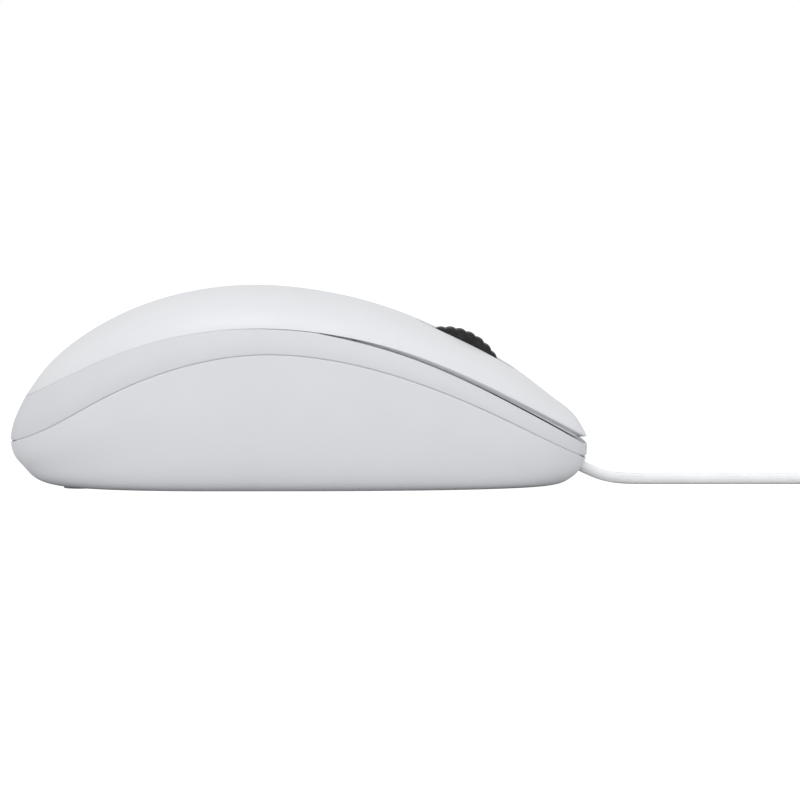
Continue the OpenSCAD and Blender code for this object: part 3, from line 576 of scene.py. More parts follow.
def coil_turns():
    """Centre line of the coil: each layer winds inwards or outwards, and one turn climbs
    to the next layer."""
    radii = [COIL_RADIUS, COIL_INNER]
    z = TIE_THICKNESS + CABLE_RADIUS
    path = []

    def wind(turns, r_from, r_to, z_from, z_to):
        count = turns * TURN_STEPS
        for k in range(count):
            share = k / count
            angle = 2 * math.pi * (turns * share - 0.25)
            r = r_from + (r_to - r_from) * share
            path.append([COIL_CENTRE[0] + r * math.cos(angle),
                         COIL_CENTRE[1] + r * math.sin(angle),
                         z_from + (z_to - z_from) * math.sin(math.pi / 2 * share)])

    for layer in range(COIL_LAYERS):
        wind(COIL_COLUMNS - 1, radii[0], radii[1], z, z)
        radii.reverse()
        if layer < COIL_LAYERS - 1:
            wind(1, radii[0], radii[0], z, z + COIL_PITCH)
            z += COIL_PITCH
    path.append([COIL_CENTRE[0], COIL_CENTRE[1] - COIL_RADIUS, z])
    return path


coil = coil_turns()
route = np.array(smooth(RUN_ROUTE + [coil[0]], RUN_STEPS)[:-1] + coil
                 + smooth([coil[-1]] + TAIL_ROUTE, TAIL_STEPS)[1:]) * MM
cable_curve = bpy.data.curves.new("cable", "CURVE")
cable_curve.dimensions = "3D"
cable_curve.bevel_depth = CABLE_RADIUS * MM
cable_curve.bevel_resolution = JACKET_FINENESS
cable_curve.use_fill_caps = True
line = cable_curve.splines.new("POLY")
line.points.add(len(route) - 1)
line.points.foreach_set("co", np.concatenate([route, np.ones((len(route), 1))], 1).ravel())
line.use_smooth = True
cable = add_object("cable", cable_curve)
cable_curve.materials.append(cable_white)
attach(cable, "base")
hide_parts("cable_run", "cable_coil", "cable_tail")


def rounded_section(width, height, squareness, count=96):
    """Closed outline [across, up] whose corners are rounder the lower its squareness."""
    angle = np.arange(count) * 2 * math.pi / count
    return joined(width / 2 * squared_off(np.cos(angle), squareness),
                  height / 2 * squared_off(np.sin(angle), squareness))


ROUND = 2  # squareness of a circle or an ellipse
PLUG_TAIL = np.array([141, -21, 4.0])
PLUG_LENGTH, PLUG_WIDTH, PLUG_HEIGHT = 18, 16, 8
PLUG_SQUARENESS = 5.0
FRONT_ROUND_LENGTH, FRONT_ROUND_DEPTH = 1.2, 0.9
BACK_ROUND_LENGTH, BACK_ROUND_DEPTH = 1.8, 1.5
BACK_ROUND_X = PLUG_LENGTH - BACK_ROUND_LENGTH
# First place, last place and count of the sections: front rounding, grip, back rounding
PLUG_SPANS = ((0, FRONT_ROUND_LENGTH, 7), (1.6, BACK_ROUND_X, 74), (16.5, PLUG_LENGTH, 8))
GROOVES, GROOVE_FIRST, GROOVE_PITCH = 5, 7.4, 1.7
GROOVE_HALF, GROOVE_CUT, GROOVE_REACH = 0.55, 0.45, 4.6
WAIST_START, WAIST_LENGTH, WAIST_DEPTH = 4, 13, 0.5
RELIEF_LENGTH, RELIEF_WIDE, RELIEF_NARROW = 8, 3.2, 1.7
RELIEF_TAPER, RELIEF_SECTIONS = 0.8, 64
RELIEF_RIB_PITCH, RELIEF_RIB_CUT = 1.6, 0.42


def make_plug():
    """Over-moulded plug with grip grooves, and a ribbed strain relief behind it."""
    front = PLUG_TAIL[0] - RELIEF_LENGTH - PLUG_LENGTH
    back = front + PLUG_LENGTH
    sections = []
    for x in np.concatenate([np.linspace(*span) for span in PLUG_SPANS]):
        before = 1 - min(1, x / FRONT_ROUND_LENGTH)
        behind = max(0, (x - BACK_ROUND_X) / BACK_ROUND_LENGTH)
        shrink = (FRONT_ROUND_DEPTH * (1 - math.sqrt(1 - before ** 2))
                  + BACK_ROUND_DEPTH * (1 - math.sqrt(max(0, 1 - behind ** 2))))
        groove = 0.0
        for k in range(GROOVES):
            off = (x - GROOVE_FIRST - GROOVE_PITCH * k) / GROOVE_HALF
            groove = max(groove, GROOVE_CUT * max(0, 1 - off ** 2))
        along = min(1, max(0, (x - WAIST_START) / WAIST_LENGTH))
        waist = WAIST_DEPTH * math.sin(math.pi * along) ** 2
        outline = rounded_section(PLUG_WIDTH - 2 * (shrink + waist), PLUG_HEIGHT - 2 * shrink,
                                  PLUG_SQUARENESS)
        on_top = smoothstep(GROOVE_REACH - np.abs(outline[:, 0]))
        outline[:, 1] -= np.sign(outline[:, 1]) * groove * on_top
        sections.append((front + x, outline))
    for x in np.linspace(0, RELIEF_LENGTH, RELIEF_SECTIONS):
        share = x / RELIEF_LENGTH
        radius = RELIEF_WIDE + (RELIEF_NARROW - RELIEF_WIDE) * share ** RELIEF_TAPER
        rib = 0.5 + 0.5 * math.cos(2 * math.pi * x / RELIEF_RIB_PITCH)
        radius -= RELIEF_RIB_CUT * rib ** 3 * (1 - 0.5 * share)
        sections.append((back + x, rounded_section(2 * radius, 2 * radius, ROUND)))
    rings = [joined(x, PLUG_TAIL[1] + o[:, 0], PLUG_TAIL[2] + o[:, 1]) for x, o in sections]
    return lofted("plug_grip", rings, plug_white, sharp=50)


plug = make_plug()
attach(plug, "base")
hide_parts("plug_body")


TIE_GAP = 1.35
TIE_LIFT = 0.01
TIE_CORNER, TIE_HALF_WIDTH = 2.2, 2.0
TIE_INSET = TIE_THICKNESS - 0.04
CORNER_STEPS = 8
TWIST_LENGTH, TWIST_STEPS, TWIST_TURNS = 11.0, 44, 2.5
TWIST_START, TWIST_RADIUS, TWIST_RISE = 1.2, 0.42, 1.15
TWIST_SHARE, TWIST_SPREAD = 0.7, 1.3
STRAP_HALF, STRAP_THIN = 0.75, 0.22


def make_tie():
    """Flat twist tie round the coil, its two ends twisted together on top."""
    half = (COIL_RADIUS - COIL_INNER) / 2 + CABLE_RADIUS + TIE_GAP
    height = (COIL_PITCH * (COIL_LAYERS - 1) + 2 * CABLE_RADIUS
              + 2 * (TIE_THICKNESS - TIE_LIFT))
    middle = np.array([COIL_CENTRE[0], COIL_CENTRE[1] + (COIL_RADIUS + COIL_INNER) / 2])
    b = Build()
    centre_z = TIE_LIFT + height / 2
    loops = []
    for inset, across in [(0, -1), (0, 1), (TIE_INSET, 1), (TIE_INSET, -1)]:
        loop = []
        for quarter in range(4):
            cy = (1, -1, -1, 1)[quarter] * (half - TIE_CORNER)
            cz = (1, 1, -1, -1)[quarter] * (height / 2 - TIE_CORNER)
            for k in range(CORNER_STEPS + 1):
                angle = math.pi / 2 * (quarter + k / CORNER_STEPS)
                loop.append([middle[0] + across * TIE_HALF_WIDTH,
                             middle[1] + cy + (TIE_CORNER - inset) * math.cos(angle),
                             centre_z + cz + (TIE_CORNER - inset) * math.sin(angle)])
        loops.append(loop)
    b.loft(loops, ends="join")
    # The ends are twisted together along the top, and spread over the last of their length
    middle_z = TIE_LIFT + height + TWIST_RISE
    for twin in (0, math.pi):
        rings = []
        for k in range(TWIST_STEPS + 1):
            share = k / TWIST_STEPS
            turn = twin + 2 * math.pi * TWIST_TURNS * min(1, share / TWIST_SHARE)
            loose = max(0, (share - TWIST_SHARE) / (1 - TWIST_SHARE))
            spread = TWIST_RADIUS + TWIST_SPREAD * loose ** 1.5
            x = middle[0] + TWIST_START + TWIST_LENGTH * share
            out = np.array([math.cos(turn), math.sin(turn)])
            c = [middle[1], middle_z] + out * [spread, TWIST_RADIUS]
            u, v = STRAP_HALF * np.array([-out[1], out[0]]), STRAP_THIN * out
            rings.append([[x, *(c + u + v)], [x, *(c - u + v)], [x, *(c - u - v)],
                          [x, *(c + u - v)]])
        b.loft(rings)
    return b.piece("tie_strap", tie_grey, sharp=50)


tie = make_tie()
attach(tie, "base")
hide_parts("cable_tie")

# ---- Top covers ----

STRAIGHT = 0.2
SLOPE_STEP = 0.05
ROUND_STEPS = 5
EASE = 0.35


def inset_outline(loop, distances):
    """Moves each side of a closed anticlockwise outline inwards by its own distance."""
    ahead = unit(np.roll(loop, -1, 0) - loop)
    normal = joined(-ahead[:, 1], ahead[:, 0])
    before, d0, d1 = np.roll(normal, 1, 0), np.roll(distances, 1), distances
    cross = before[:, 0] * normal[:, 1] - before[:, 1] * normal[:, 0]
    level = unit(before + normal) * ((d0 + d1) / 2)[:, None]
    straight = np.abs(cross) < STRAIGHT
    safe = np.where(straight, 1, cross)
    corner = (d0[:, None] * joined(normal[:, 1], -normal[:, 0])
              + d1[:, None] * joined(-before[:, 1], before[:, 0])) / safe[:, None]
    return loop + np.where(straight[:, None], level, corner), normal


def patch(a, b, c, d, us, vs):
    """Grid that fills a four-sided outline: sides a and b run along u, c and d along v."""
    u, v = us[:, None, None], vs[None, :, None]
    return ((1 - v) * a[:, None] + v * b[:, None] + (1 - u) * c[None] + u * d[None]
            - (1 - u) * (1 - v) * a[0] - (1 - u) * v * b[0] - u * (1 - v) * a[-1]
            - u * v * b[-1])


def cover_shell(b, a_side, b_side, root, end, us, vs, radius):
    """Adds a cover to build b. The outline's sides are given in plan; radius says how round
    its edge is at each plan point, with 0 along the root."""
    rows, columns = len(us), len(vs)
    outline = np.zeros((rows, columns, 2))
    outline[:, 0], outline[:, -1], outline[0], outline[-1] = a_side, b_side, root, end
    around = np.array([(0, j) for j in range(columns)]
                      + [(i, columns - 1) for i in range(1, rows)]
                      + [(rows - 1, j) for j in range(columns - 2, -1, -1)]
                      + [(i, 0) for i in range(rows - 2, 0, -1)]).T
    loop = outline[tuple(around)]
    ahead = np.roll(loop, -1, 0)
    if (loop[:, 0] * ahead[:, 1] - loop[:, 1] * ahead[:, 0]).sum() < 0:
        around, loop = around[:, ::-1], loop[::-1]
    edge = tuple(around)
    middle = (loop + np.roll(loop, -1, 0)) / 2
    on_root = np.abs(middle[:, 0] - ROOT_X) < 1e-6
    r = np.where(on_root, 0, radius(middle))
    _, normal = inset_outline(loop, r)
    slope = (crown_z(middle + SLOPE_STEP * normal) - crown_z(middle)) / SLOPE_STEP
    moved, _ = inset_outline(loop, r / np.sqrt(1 + slope ** 2))
    outline[edge] = moved
    grid = patch(outline[:, 0], outline[:, -1], outline[0], outline[-1], us, vs)
    top = b.add(with_z(grid, crown_z(grid))).reshape(rows, columns)
    inner = crown_point(loop, WALL)
    under = crown_point(grid, WALL)
    under[edge] = inner
    low = b.add(under).reshape(rows, columns)
    b.grid(top)
    b.grid(low[:, ::-1])
    start = with_z(moved, crown_z(moved))
    corner = with_z(loop, crown_z(loop))
    vertex_r = np.maximum(r, np.roll(r, 1))
    finish = corner + unit(inner - corner) * vertex_r[:, None]
    rings = [top[edge]]
    for points in bend_round(start, corner, finish, ROUND_STEPS)[1:]:
        rings.append(b.add(points))
    rings.append(low[edge])
    for one, two in zip(rings, rings[1:]):
        b.strip(one, two)


def eased(count):
    """Numbers from 0 to 1 whose steps are wider at the start."""
    s = np.linspace(0, 1, count)
    return s + EASE * np.sin(math.pi * s) / math.pi


SEAM_ROUND = 0.14
EDGE_ROUND = 0.28
SLOT_ROUND = 0.5
SLOT_ROUND_START, SLOT_ROUND_FADE = 0.2, 1.5
SIDE_ROUND_FADE = 8
NOSE_ROUND_EXTRA, NOSE_ROUND_X, NOSE_ROUND_FADE = 0.22, 48, 7
SLIT_END_X = 52
BUTTON_ROWS, BUTTON_COLUMNS, PALM_ROWS = 170, 76, 150
EVEN_SHARE = 0.2
SLIT_SAMPLES, SLOT_END_SAMPLES = 900, 400
NOSE_CORNER_Y = 18
TAIL_CORNER_Y = 15
root_half = float(half_width(COVER_PLAN, np.array(float(ROOT_X))))
button_vs = eased(BUTTON_COLUMNS)
root_ys = SLIT_HALF + button_vs * (root_half - SLIT_HALF)


def make_palm():
    """Palm cover, from the buttons' roots to the tail."""
    us = eased(PALM_ROWS)
    ys = np.concatenate([root_ys[::-1], [0], -root_ys])
    vs = (1 - ys / root_half) / 2
    corner = float(end_x(COVER_PLAN, False, TAIL_CORNER_Y))
    xs = ROOT_X + (corner - ROOT_X) * us
    side = joined(xs, half_width(COVER_PLAN, xs))
    tail_y = (1 - 2 * vs) * TAIL_CORNER_Y
    b = Build()
    cover_shell(b, side, side * [1, -1], joined(ROOT_X, ys),
                joined(end_x(COVER_PLAN, False, tail_y), tail_y), us, vs,
                lambda p: np.full(len(p), SEAM_ROUND))
    return b.piece("palm_shell", cover_white, scale=STRETCH)


def slit_side(count):
    """The button's inner side from root to nose, spaced by its length along the slot."""
    nose = float(end_x(COVER_PLAN, True, SLIT_HALF))
    near = 1 - np.geomspace(1, 1e-9, SLOT_END_SAMPLES)
    ends = np.concatenate([SLOT_X - SLOT_HALF_LENGTH * near, SLOT_X + SLOT_HALF_LENGTH * near])
    x = np.unique(np.concatenate([np.linspace(ROOT_X, nose, SLIT_SAMPLES), ends]))
    line = joined(x, slit_edge(x))
    run = run_along(line)
    at = np.linspace(0, run[-1], count)
    for end in (SLOT_X - SLOT_HALF_LENGTH, SLOT_X + SLOT_HALF_LENGTH):
        bend = run[np.argmin(np.abs(x - end))]
        at[np.argmin(np.abs(at - bend))] = bend
    return joined(np.interp(at, run, line[:, 0]), np.interp(at, run, line[:, 1]))


def button_radius(p):
    """How round a button's edge is at plan points p."""
    x, y = p[:, 0], np.abs(p[:, 1])
    on_slit = (y < SLOT_HALF_WIDTH + 0.01) & ~(x > SLIT_END_X)
    in_slot = smoothstep((y - SLIT_HALF - SLOT_ROUND_START) / SLOT_ROUND_FADE)
    inner = EDGE_ROUND + (SLOT_ROUND - EDGE_ROUND) * in_slot
    outer = SEAM_ROUND + (EDGE_ROUND - SEAM_ROUND) * smoothstep((x - ROOT_X) / SIDE_ROUND_FADE)
    outer = outer + NOSE_ROUND_EXTRA * smoothstep((x - NOSE_ROUND_X) / NOSE_ROUND_FADE)
    return np.where(on_slit, inner, outer)


SKIRT_INSET = 1.15
SKIRT_THICKNESS = 0.9
SKIRT_RISE = 0.35
SKIRT_START, SKIRT_END_Y, SKIRT_FRONT = ROOT_X + 1, 0.9, 55.4
SKIRT_SAMPLES = 400
CRACK, CRACK_FADE = 0.2, 0.5


def skirt(b, path):
    """Recessed wall under a button's outer edge; it shows as a shadow line in the gap."""
    along = unit(np.gradient(path, axis=0))
    inwards = joined(along[:, 1], -along[:, 0])
    inwards *= np.sign((inwards * ([WIDEST_X, 0] - path)).sum(1))[:, None]
    near, far = path + SKIRT_INSET * inwards, path + (SKIRT_INSET + SKIRT_THICKNESS) * inwards
    gap = button_gap(near[:, 0])
    top = edge_z(path[:, 0]) + SKIRT_RISE
    low = edge_z(near[:, 0]) - gap + CRACK * smoothstep(gap / CRACK_FADE)
    rings = np.stack([with_z(near, top), with_z(near, low), with_z(far, low),
                      with_z(far, top)], 1)
    b.loft(list(rings))


def make_button(name, side):
    """Cover of one button, with side 1 for the left one and -1 for the right one."""
    line = slit_side(BUTTON_ROWS)
    us_x = (line[:, 0] - ROOT_X) / (line[-1, 0] - ROOT_X)
    us = (1 - EVEN_SHARE) * us_x + EVEN_SHARE * np.linspace(0, 1, BUTTON_ROWS)
    corner = float(end_x(COVER_PLAN, True, NOSE_CORNER_Y))
    xs = ROOT_X + (corner - ROOT_X) * us
    outer = joined(xs, half_width(COVER_PLAN, xs))
    ys = SLIT_HALF + button_vs * (NOSE_CORNER_Y - SLIT_HALF)
    nose = joined(end_x(COVER_PLAN, True, ys), ys)
    root = joined(ROOT_X, root_ys)
    flip = np.array([1, side])
    b = Build()
    cover_shell(b, line * flip, outer * flip, root * flip, nose * flip, us, button_vs,
                button_radius)
    path = ring_point(COVER_PLAN, np.linspace(0, math.pi / 2, SKIRT_SAMPLES))
    path = path[(path[:, 0] > SKIRT_START) & (path[:, 1] > SKIRT_END_Y)]
    path[:, 0] = np.minimum(path[:, 0], SKIRT_FRONT)
    skirt(b, path * flip)
    return b.piece(name, cover_white, scale=STRETCH)


palm = make_palm()
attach(palm, "base")
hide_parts("palm_cover")
for name, side, body in (("left", 1, "left_key"), ("right", -1, "right_key")):
    shell = make_button(name + "_button_shell", side)
    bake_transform(shell)
    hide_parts(name + "_button")


# ---- Band and lower case ----

QUARTER_STEPS, QUARTER_SAMPLES = 120, 4001


def even_angles(plan):
    """Angles of an outline's points, evenly spaced along it, with each quarter's ends."""
    out = []
    for k in range(4):
        fine = np.linspace(k, k + 1, QUARTER_SAMPLES) * math.pi / 2
        p = ring_point(plan, fine)
        run = run_along(p)
        out.append(np.interp(np.linspace(0, run[-1], QUARTER_STEPS + 1)[:-1], run, fine))
    return np.concatenate(out)


ANGLES = even_angles(SEAM_PLAN)


def inward(flat):
    """Directions, level and square to a closed outline, that point into it."""
    ahead = unit(np.roll(flat, -1, 0) - np.roll(flat, 1, 0))
    return joined(-ahead[:, 1], ahead[:, 0], 0)


# The seam is a rounded groove, wider and deeper round the nose and the tail. The lip is half
# the slit at its bottom, and the rise is how far the groove reaches up the band or down the case.
END_FADE = 1.6
NOSE_SEAM_X, TAIL_SEAM_X = 54.6, -54.8
SIDE_LIP, NOSE_LIP, TAIL_LIP = 0.01, 0.2, 0.1
SIDE_DEPTH, NOSE_DEPTH, TAIL_DEPTH = 0.22, 0.6, 0.5
GROOVE_ROUND = 0.28
GROOVE_STEPS = 4
seam_flat = ring_point(SEAM_PLAN, ANGLES)
nose_share = smoothstep((seam_flat[:, 0] - NOSE_SEAM_X) / END_FADE)
tail_share = smoothstep((TAIL_SEAM_X - seam_flat[:, 0]) / END_FADE)
seam_lip = (SIDE_LIP + NOSE_LIP * nose_share + TAIL_LIP * tail_share)[:, None]
groove_rise = seam_lip + GROOVE_ROUND
groove_depth = (SIDE_DEPTH + NOSE_DEPTH * nose_share + TAIL_DEPTH * tail_share)[:, None]
seam_line = with_z(seam_flat, seam_z(seam_flat[:, 0]))
seam_in = inward(seam_flat)

RIM_THICKNESS, NOSE_RIM_EXTRA, NOSE_RIM_X, NOSE_RIM_FADE = 1.0, 0.85, 50, 5
RIM_ROUND, NOSE_RIM_ROUND, RIM_ROUND_FADE = 0.14, 0.1, 0.5
RIM_SLOPE = 0.02
BAND_ROWS, BAND_SAMPLES = 12, 40
SHORT_SHARE, ROW_MARGIN = 0.02, 1.1


def make_band():
    """Band from the covers' edge out and down to the seam, with its hidden inner side."""
    upper = ring_point(COVER_PLAN, ANGLES)
    gap = button_gap(upper[:, 0])
    top_z = edge_z(upper[:, 0]) - gap

    def outer(share):
        plan = COVER_PLAN + (SEAM_PLAN - COVER_PLAN) * math.sin(math.pi / 2 * share)
        return with_z(ring_point(plan, ANGLES), top_z + (seam_line[:, 2] - top_z) * share)

    rim = outer(0)
    rim_in = inward(upper)
    height = np.linalg.norm(seam_line - rim, axis=1)[:, None]
    radius = RIM_ROUND + NOSE_RIM_ROUND * smoothstep(gap / RIM_ROUND_FADE)[:, None]
    down = unit(outer(SHORT_SHARE) - rim)
    rings = bend_round(rim + rim_in * radius, rim, rim + down * radius, GROOVE_STEPS)
    first, last = radius / height * ROW_MARGIN, 1 - groove_rise / height * ROW_MARGIN
    samples = np.array([outer(v) for v in np.linspace(0, 1, BAND_SAMPLES + 1)])
    each = np.arange(len(ANGLES))
    for k in range(BAND_ROWS):
        at = (first + (last - first) * (k + 0.5) / BAND_ROWS)[:, 0] * BAND_SAMPLES
        low = np.clip(np.floor(at), 0, BAND_SAMPLES - 1).astype(int)
        a, c = samples[low, each], samples[low + 1, each]
        rings.append(a + (c - a) * (at - low)[:, None])
    up = unit(outer(1 - SHORT_SHARE) - seam_line)
    lip = seam_line + up * seam_lip
    rings += bend_round(seam_line + up * groove_rise, lip, lip + seam_in * groove_depth,
                        GROOVE_STEPS)
    rings.append(seam_line + seam_in * WALL)
    nose_rim = smoothstep((upper[:, :1] - NOSE_RIM_X) / NOSE_RIM_FADE)
    rim_width = RIM_THICKNESS + NOSE_RIM_EXTRA * nose_rim
    rings.append(rim + rim_in * rim_width - [0, 0, RIM_SLOPE])
    return lofted("band_shell", rings, band_white, "join", scale=STRETCH)


def stadium(x, half, radius, count=24):
    """Outline of a foot: a bar along Y with round ends."""
    angle = math.pi * np.arange(count + 1) / count
    return np.concatenate([
        joined(x + radius * np.cos(angle + start), sign * half + radius * np.sin(angle + start))
        for sign, start in ((1, 0), (-1, math.pi))])


FEET = (("front_foot", 39.0, 9.0), ("rear_foot", -42.7, 11.0))
FOOT_RADIUS = 3.0
FOOT_CLEARANCE, FOOT_RECESS = 0.15, 0.2
EXIT_SLOPE = math.radians(26)
EXIT_CLEARANCE, EXIT_REACH = 0.25, (-6.0, 8.0)
CASE_ROWS = 44
# Ring of the case, share of the seam's height, and least rise above the floor
CASE_HOLLOW = ((5, 0, 0), (3, 0.16, 0.6), (2, 0.4, 1.2))
SHARE_WEIGHT = 20
GROOVE_EASE = 6
CUT_BELOW = -1.0
SCREW_X, SCREW_POCKET, SCREW_POCKET_TOP = -36, 6, 2.2
WINDOW_X, WINDOW_LENGTH, WINDOW_WIDTH, WINDOW_TOP, WINDOW_SQUARENESS = -5, 9, 6, 5.0, 8
CUT_POINTS, HOLE_POINTS = 64, 48


def cutter(name, outline, top):
    """Upright cutter from under the case up to height top."""
    return lofted(name, [with_z(outline, z) for z in (CUT_BELOW, top)], case_white)


def make_case():
    """Lower case below the seam, hollow from above, with pockets cut into its underside."""
    rings_in = np.array([[*plan, share] for plan, share in CASE_RINGS], float)
    run = run_along(rings_in * [1, 1, 1, SHARE_WEIGHT])
    curves = [spline(list(zip(run, rings_in[:, k]))) for k in range(4)]

    def case_z(share):
        return GLIDE_HEIGHT + (seam_line[:, 2] - GLIDE_HEIGHT) * share

    outside = []
    for at in np.linspace(0, run[-1], CASE_ROWS):
        *plan, share = [float(curve(at)) for curve in curves]
        outside.append(with_z(ring_point(plan, ANGLES), case_z(share)))
    down = unit(outside[1] - outside[0])
    lip = seam_line + down * seam_lip
    rings = [seam_line + seam_in * WALL]
    rings += bend_round(lip + seam_in * groove_depth, lip, seam_line + down * groove_rise,
                        GROOVE_STEPS)
    for k, ring in enumerate(outside[1:], 1):
        rings.append(ring + down * groove_rise * max(0, 1 - k / GROOVE_EASE))

    def inside(plan, share, lowest):
        return with_z(ring_point(plan, ANGLES, WALL), np.maximum(lowest, case_z(share)))

    hollow = [inside(CASE_RINGS[k][0], share, FLOOR_TOP + rise) for k, share, rise in CASE_HOLLOW]
    case = lofted("case_shell", hollow + rings, case_white, scale=STRETCH)

    tools = [cutter(name + "_cut", stadium(x, half, FOOT_RADIUS + FOOT_CLEARANCE),
                    GLIDE_HEIGHT + FOOT_RECESS) for name, x, half in FEET]
    circle = rounded_section(SCREW_POCKET, SCREW_POCKET, ROUND, CUT_POINTS)
    tools.append(cutter("screw_cut", circle + [SCREW_X, 0], SCREW_POCKET_TOP))
    window = rounded_section(WINDOW_LENGTH, WINDOW_WIDTH, WINDOW_SQUARENESS, CUT_POINTS)
    tools.append(cutter("window_cut", window + [WINDOW_X, 0], WINDOW_TOP))
    across = 2 * (CABLE_RADIUS + EXIT_CLEARANCE)
    hole = rounded_section(across, across, ROUND, HOLE_POINTS)
    axis = np.array([-math.cos(EXIT_SLOPE), 0, math.sin(EXIT_SLOPE)])
    up_dir = np.array([math.sin(EXIT_SLOPE), 0, math.cos(EXIT_SLOPE)])
    ends = [np.array(EXIT) + d * axis + hole[:, :1] * [0, 1, 0] + hole[:, 1:] * up_dir
            for d in EXIT_REACH]
    tools.append(lofted("cable_cut", ends, case_white))
    for tool in tools:
        change = case.modifiers.new(tool.name, "BOOLEAN")
        change.operation = "DIFFERENCE"
        change.solver = "MANIFOLD"
        change.object = tool
    apply_modifiers(case)
    for tool in tools:
        bpy.data.objects.remove(tool)
    case.data.set_sharp_from_angle(angle=math.radians(SHELL_SHARP))
    return case


band = make_band()
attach(band, "base")
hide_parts("side_band")
case = make_case()
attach(case, "base")
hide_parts("lower_case")


FOOT_TOP = GLIDE_HEIGHT + 0.19
FOOT_EDGE, FOOT_EDGE_STEPS = 0.16, 4


def make_foot(name, x, half):
    """Glide pad with a rounded lower edge."""
    rings = []
    for k in range(FOOT_EDGE_STEPS + 1):
        angle = math.pi / 2 * k / FOOT_EDGE_STEPS
        outline = stadium(x, half, FOOT_RADIUS - FOOT_EDGE * (1 - math.sin(angle)))
        rings.append(with_z(outline, FOOT_EDGE * (1 - math.cos(angle))))
    rings.append(with_z(stadium(x, half, FOOT_RADIUS), FOOT_TOP))
    return lofted(name + "_pad", rings, foot_white, sharp=50)


for name, x, half in FEET:
    pad = make_foot(name, x, half)
    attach(pad, "base")
    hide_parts(name)


# ---- Scroll wheel ----

WHEEL_X, WHEEL_Z = 28.7, 19.3
WHEEL_RADIUS, WHEEL_HALF = 11.6, 3.5
HUB_RADIUS = WHEEL_RADIUS - 2.2
RIBS, RIB_RADIUS = 34, 1.8
RIB_STEPS = 14
TYRE_ROUND, TYRE_ROUND_STEPS = 0.7, 5
FLAT_HALF, FLAT_ROWS = 2.6, 9


def make_tyre():
    """Tyre with round ribs, rounded off towards both sides."""
    step = np.arange(RIBS * RIB_STEPS)
    angle = step * 2 * math.pi / len(step)
    off = ((step + RIB_STEPS // 2) % RIB_STEPS / RIB_STEPS - 0.5) * 2 * math.pi / RIBS
    centre = WHEEL_RADIUS - RIB_RADIUS
    r = centre * np.cos(off) + np.sqrt(RIB_RADIUS ** 2 - (centre * np.sin(off)) ** 2)
    # Each row across the tyre is its y and its depth under the ribs, or None at the hub
    profile = []
    for turn in np.linspace(math.pi / 2, 0, TYRE_ROUND_STEPS + 1):
        profile.append((WHEEL_HALF - TYRE_ROUND * (1 - math.sin(turn)),
                        TYRE_ROUND * (1 - math.cos(turn))))
    across = [(-WHEEL_HALF, None)] + [(-y, drop) for y, drop in profile]
    across += [(y, 0.0) for y in np.linspace(-FLAT_HALF, FLAT_HALF, FLAT_ROWS)]
    across += profile[::-1] + [(WHEEL_HALF, None)]
    rings = []
    for y, drop in across:
        radius = HUB_RADIUS if drop is None else r - drop
        rings.append(joined(WHEEL_X + radius * np.cos(angle), y,
                            WHEEL_Z + radius * np.sin(angle)))
    return lofted("wheel_tyre_ribbed", rings, tyre_rubber, "join", sharp=60)


tyre = make_tyre()
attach(tyre, "wheel")
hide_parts("wheel_tyre")

# ---- Return spring ----

SPRING_X, SPRING_RADIUS, SPRING_TURNS = 14.3, 1.8, 5
SPRING_LOW, SPRING_HIGH = 4.0, 9.5
WIRE_RADIUS, WIRE_CLEARANCE = 0.21, 0.01
WIRE_SIDES, SPRING_STEPS = 10, 24


def make_spring():
    """Coil spring under the wheel's carrier."""
    around = np.linspace(0, 2 * math.pi, WIRE_SIDES, endpoint=False)
    margin = WIRE_RADIUS + WIRE_CLEARANCE
    rings = []
    for share in np.linspace(0, 1, SPRING_TURNS * SPRING_STEPS + 1):
        angle = 2 * math.pi * SPRING_TURNS * share
        radius = SPRING_RADIUS + WIRE_RADIUS * np.cos(around)
        height = SPRING_LOW + margin + (SPRING_HIGH - SPRING_LOW - 2 * margin) * share
        rings.append(joined(SPRING_X + radius * math.cos(angle), radius * math.sin(angle),
                            height + WIRE_RADIUS * np.sin(around)))
    return lofted("return_spring_coil", rings, steel, sharp=60)


spring = make_spring()
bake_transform(spring)
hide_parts("return_spring")

# ---- CAD parts that keep their shape ----

FINISHES = (
    (carrier_white, "wheel_carrier", "cable_gland"),
    (hub_grey, "wheel_hub"),
    (steel, "case_screw", "board_screws", "detent_spring"),
    (plug_steel, "plug_shell"),
    (contact_gold, "plug_contacts"),
    (header_ivory, "cable_header", "plug_insulator"),
    (board_green, "circuit_board"),
    (chip_black, "optical_sensor", "left_switch", "right_switch", "middle_switch",
     "scroll_receiver", "small_chips", "led_clip"),
    (lens_clear, "sensor_lens", "scroll_emitter"),
    (led_red, "led"),
    (plunger_brown, "left_plunger", "right_plunger", "middle_plunger"),
    (capacitor_sleeve, "capacitor"),
    (label_white, "label_plate"),
    (cable_white, "inner_cable"),
)
for material, *names in FINISHES:
    for node_name in names:
        for material_slot in NODES[node_name].material_slots:
            material_slot.material = material

# ---- Floor and light ----

FLOOR_HALF = 6.0
FLOOR_BOUNCE = 0.62
FLOOR_GLOW, GLOW_STRENGTH = 0.95, 1.15
SKY_LIGHT = 0.74

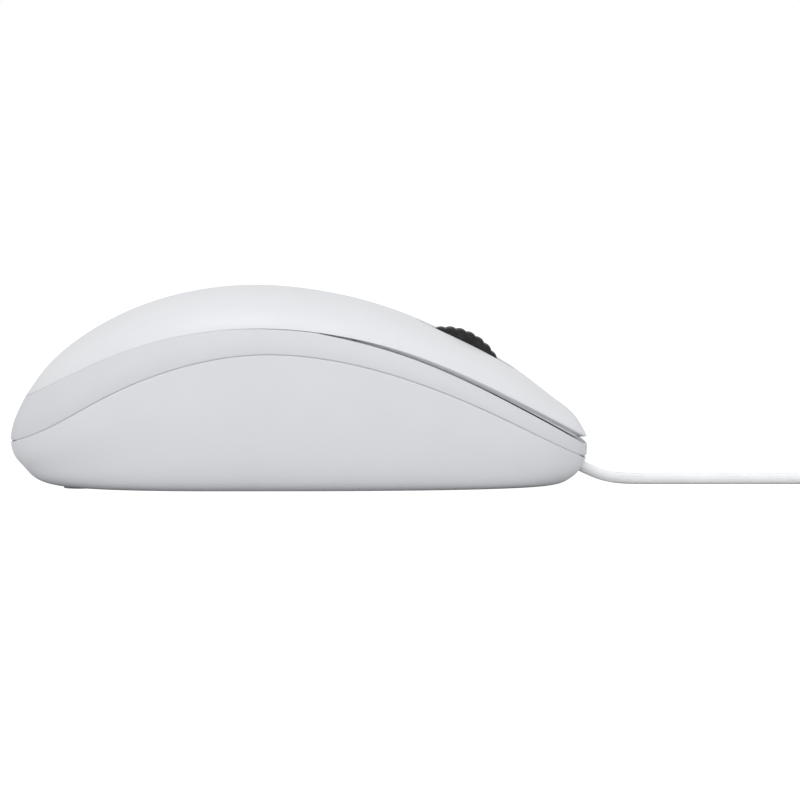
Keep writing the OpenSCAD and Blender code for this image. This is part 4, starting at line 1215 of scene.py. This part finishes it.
floor_mesh = bpy.data.meshes.new("floor")
corners = [(x * FLOOR_HALF, y * FLOOR_HALF, 0) for x, y in ((-1, -1), (1, -1), (1, 1), (-1, 1))]
floor_mesh.from_pydata(corners, [], [(0, 1, 2, 3)])
floor = add_object("floor", floor_mesh)
ground = Shader("floor_pale", 0.9, Specular_IOR_Level=0.0)
floor_white = (FLOOR_BOUNCE, FLOOR_BOUNCE, FLOOR_BOUNCE, 1)
ground.colour(ground.mix(ground.clouds(40, 3), floor_white, shade(floor_white, 0.995)))

# The camera sees the floor almost white; the object gets its plain, softer bounce
share = ground.node("Math")
share.operation = "MULTIPLY"
both = ground.node("MixShader", Fac=share.outputs[0])
for socket, value in (
        (share.inputs[0], ground.node("LightPath").outputs["Is Camera Ray"]),
        (share.inputs[1], FLOOR_GLOW),
        (both.inputs[1], ground.bsdf.outputs[0]),
        (both.inputs[2], ground.node("Emission", Strength=GLOW_STRENGTH).outputs[0]),
        (ground.tree.nodes["Material Output"].inputs["Surface"], both.outputs[0])):
    ground.set(socket, value)
floor_mesh.materials.append(ground.material)

# White to the camera, SKY_LIGHT to the object
world = bpy.data.worlds.new("World")
bpy.context.scene.world = world
world.use_nodes = True
tree = world.node_tree
sky = tree.nodes["Background"]
sky.inputs["Color"].default_value = (1, 1, 1, 1)
seen = tree.nodes.new("ShaderNodeMapRange")
seen.inputs["To Min"].default_value = SKY_LIGHT
path = tree.nodes.new("ShaderNodeLightPath")
tree.links.new(path.outputs["Is Camera Ray"], seen.inputs["Value"])
tree.links.new(seen.outputs["Result"], sky.inputs["Strength"])

# Square softboxes: name, place and power in watts
BOX_SIZE = 0.6
LIT_POINT = Vector((0, 0, 0.02))
SOFTBOXES = (("Key", (0.05, -1.2, 0.22), 2.6), ("Left", (-1.05, -0.55, 0.45), 2.4),
             ("Right", (1.05, -0.55, 0.45), 1.9), ("Top", (0, -0.05, 1.25), 3.4))
for name, place, power in SOFTBOXES:
    light = bpy.data.lights.new(name, "AREA")
    light.size = BOX_SIZE
    light.energy = power
    lamp = add_object(name, light)
    lamp.location = place
    lamp.rotation_euler = (LIT_POINT - Vector(place)).to_track_quat("-Z", "Y").to_euler()
bpy.context.scene.view_settings.view_transform = "Standard"
bpy.context.scene.view_settings.look = "None"
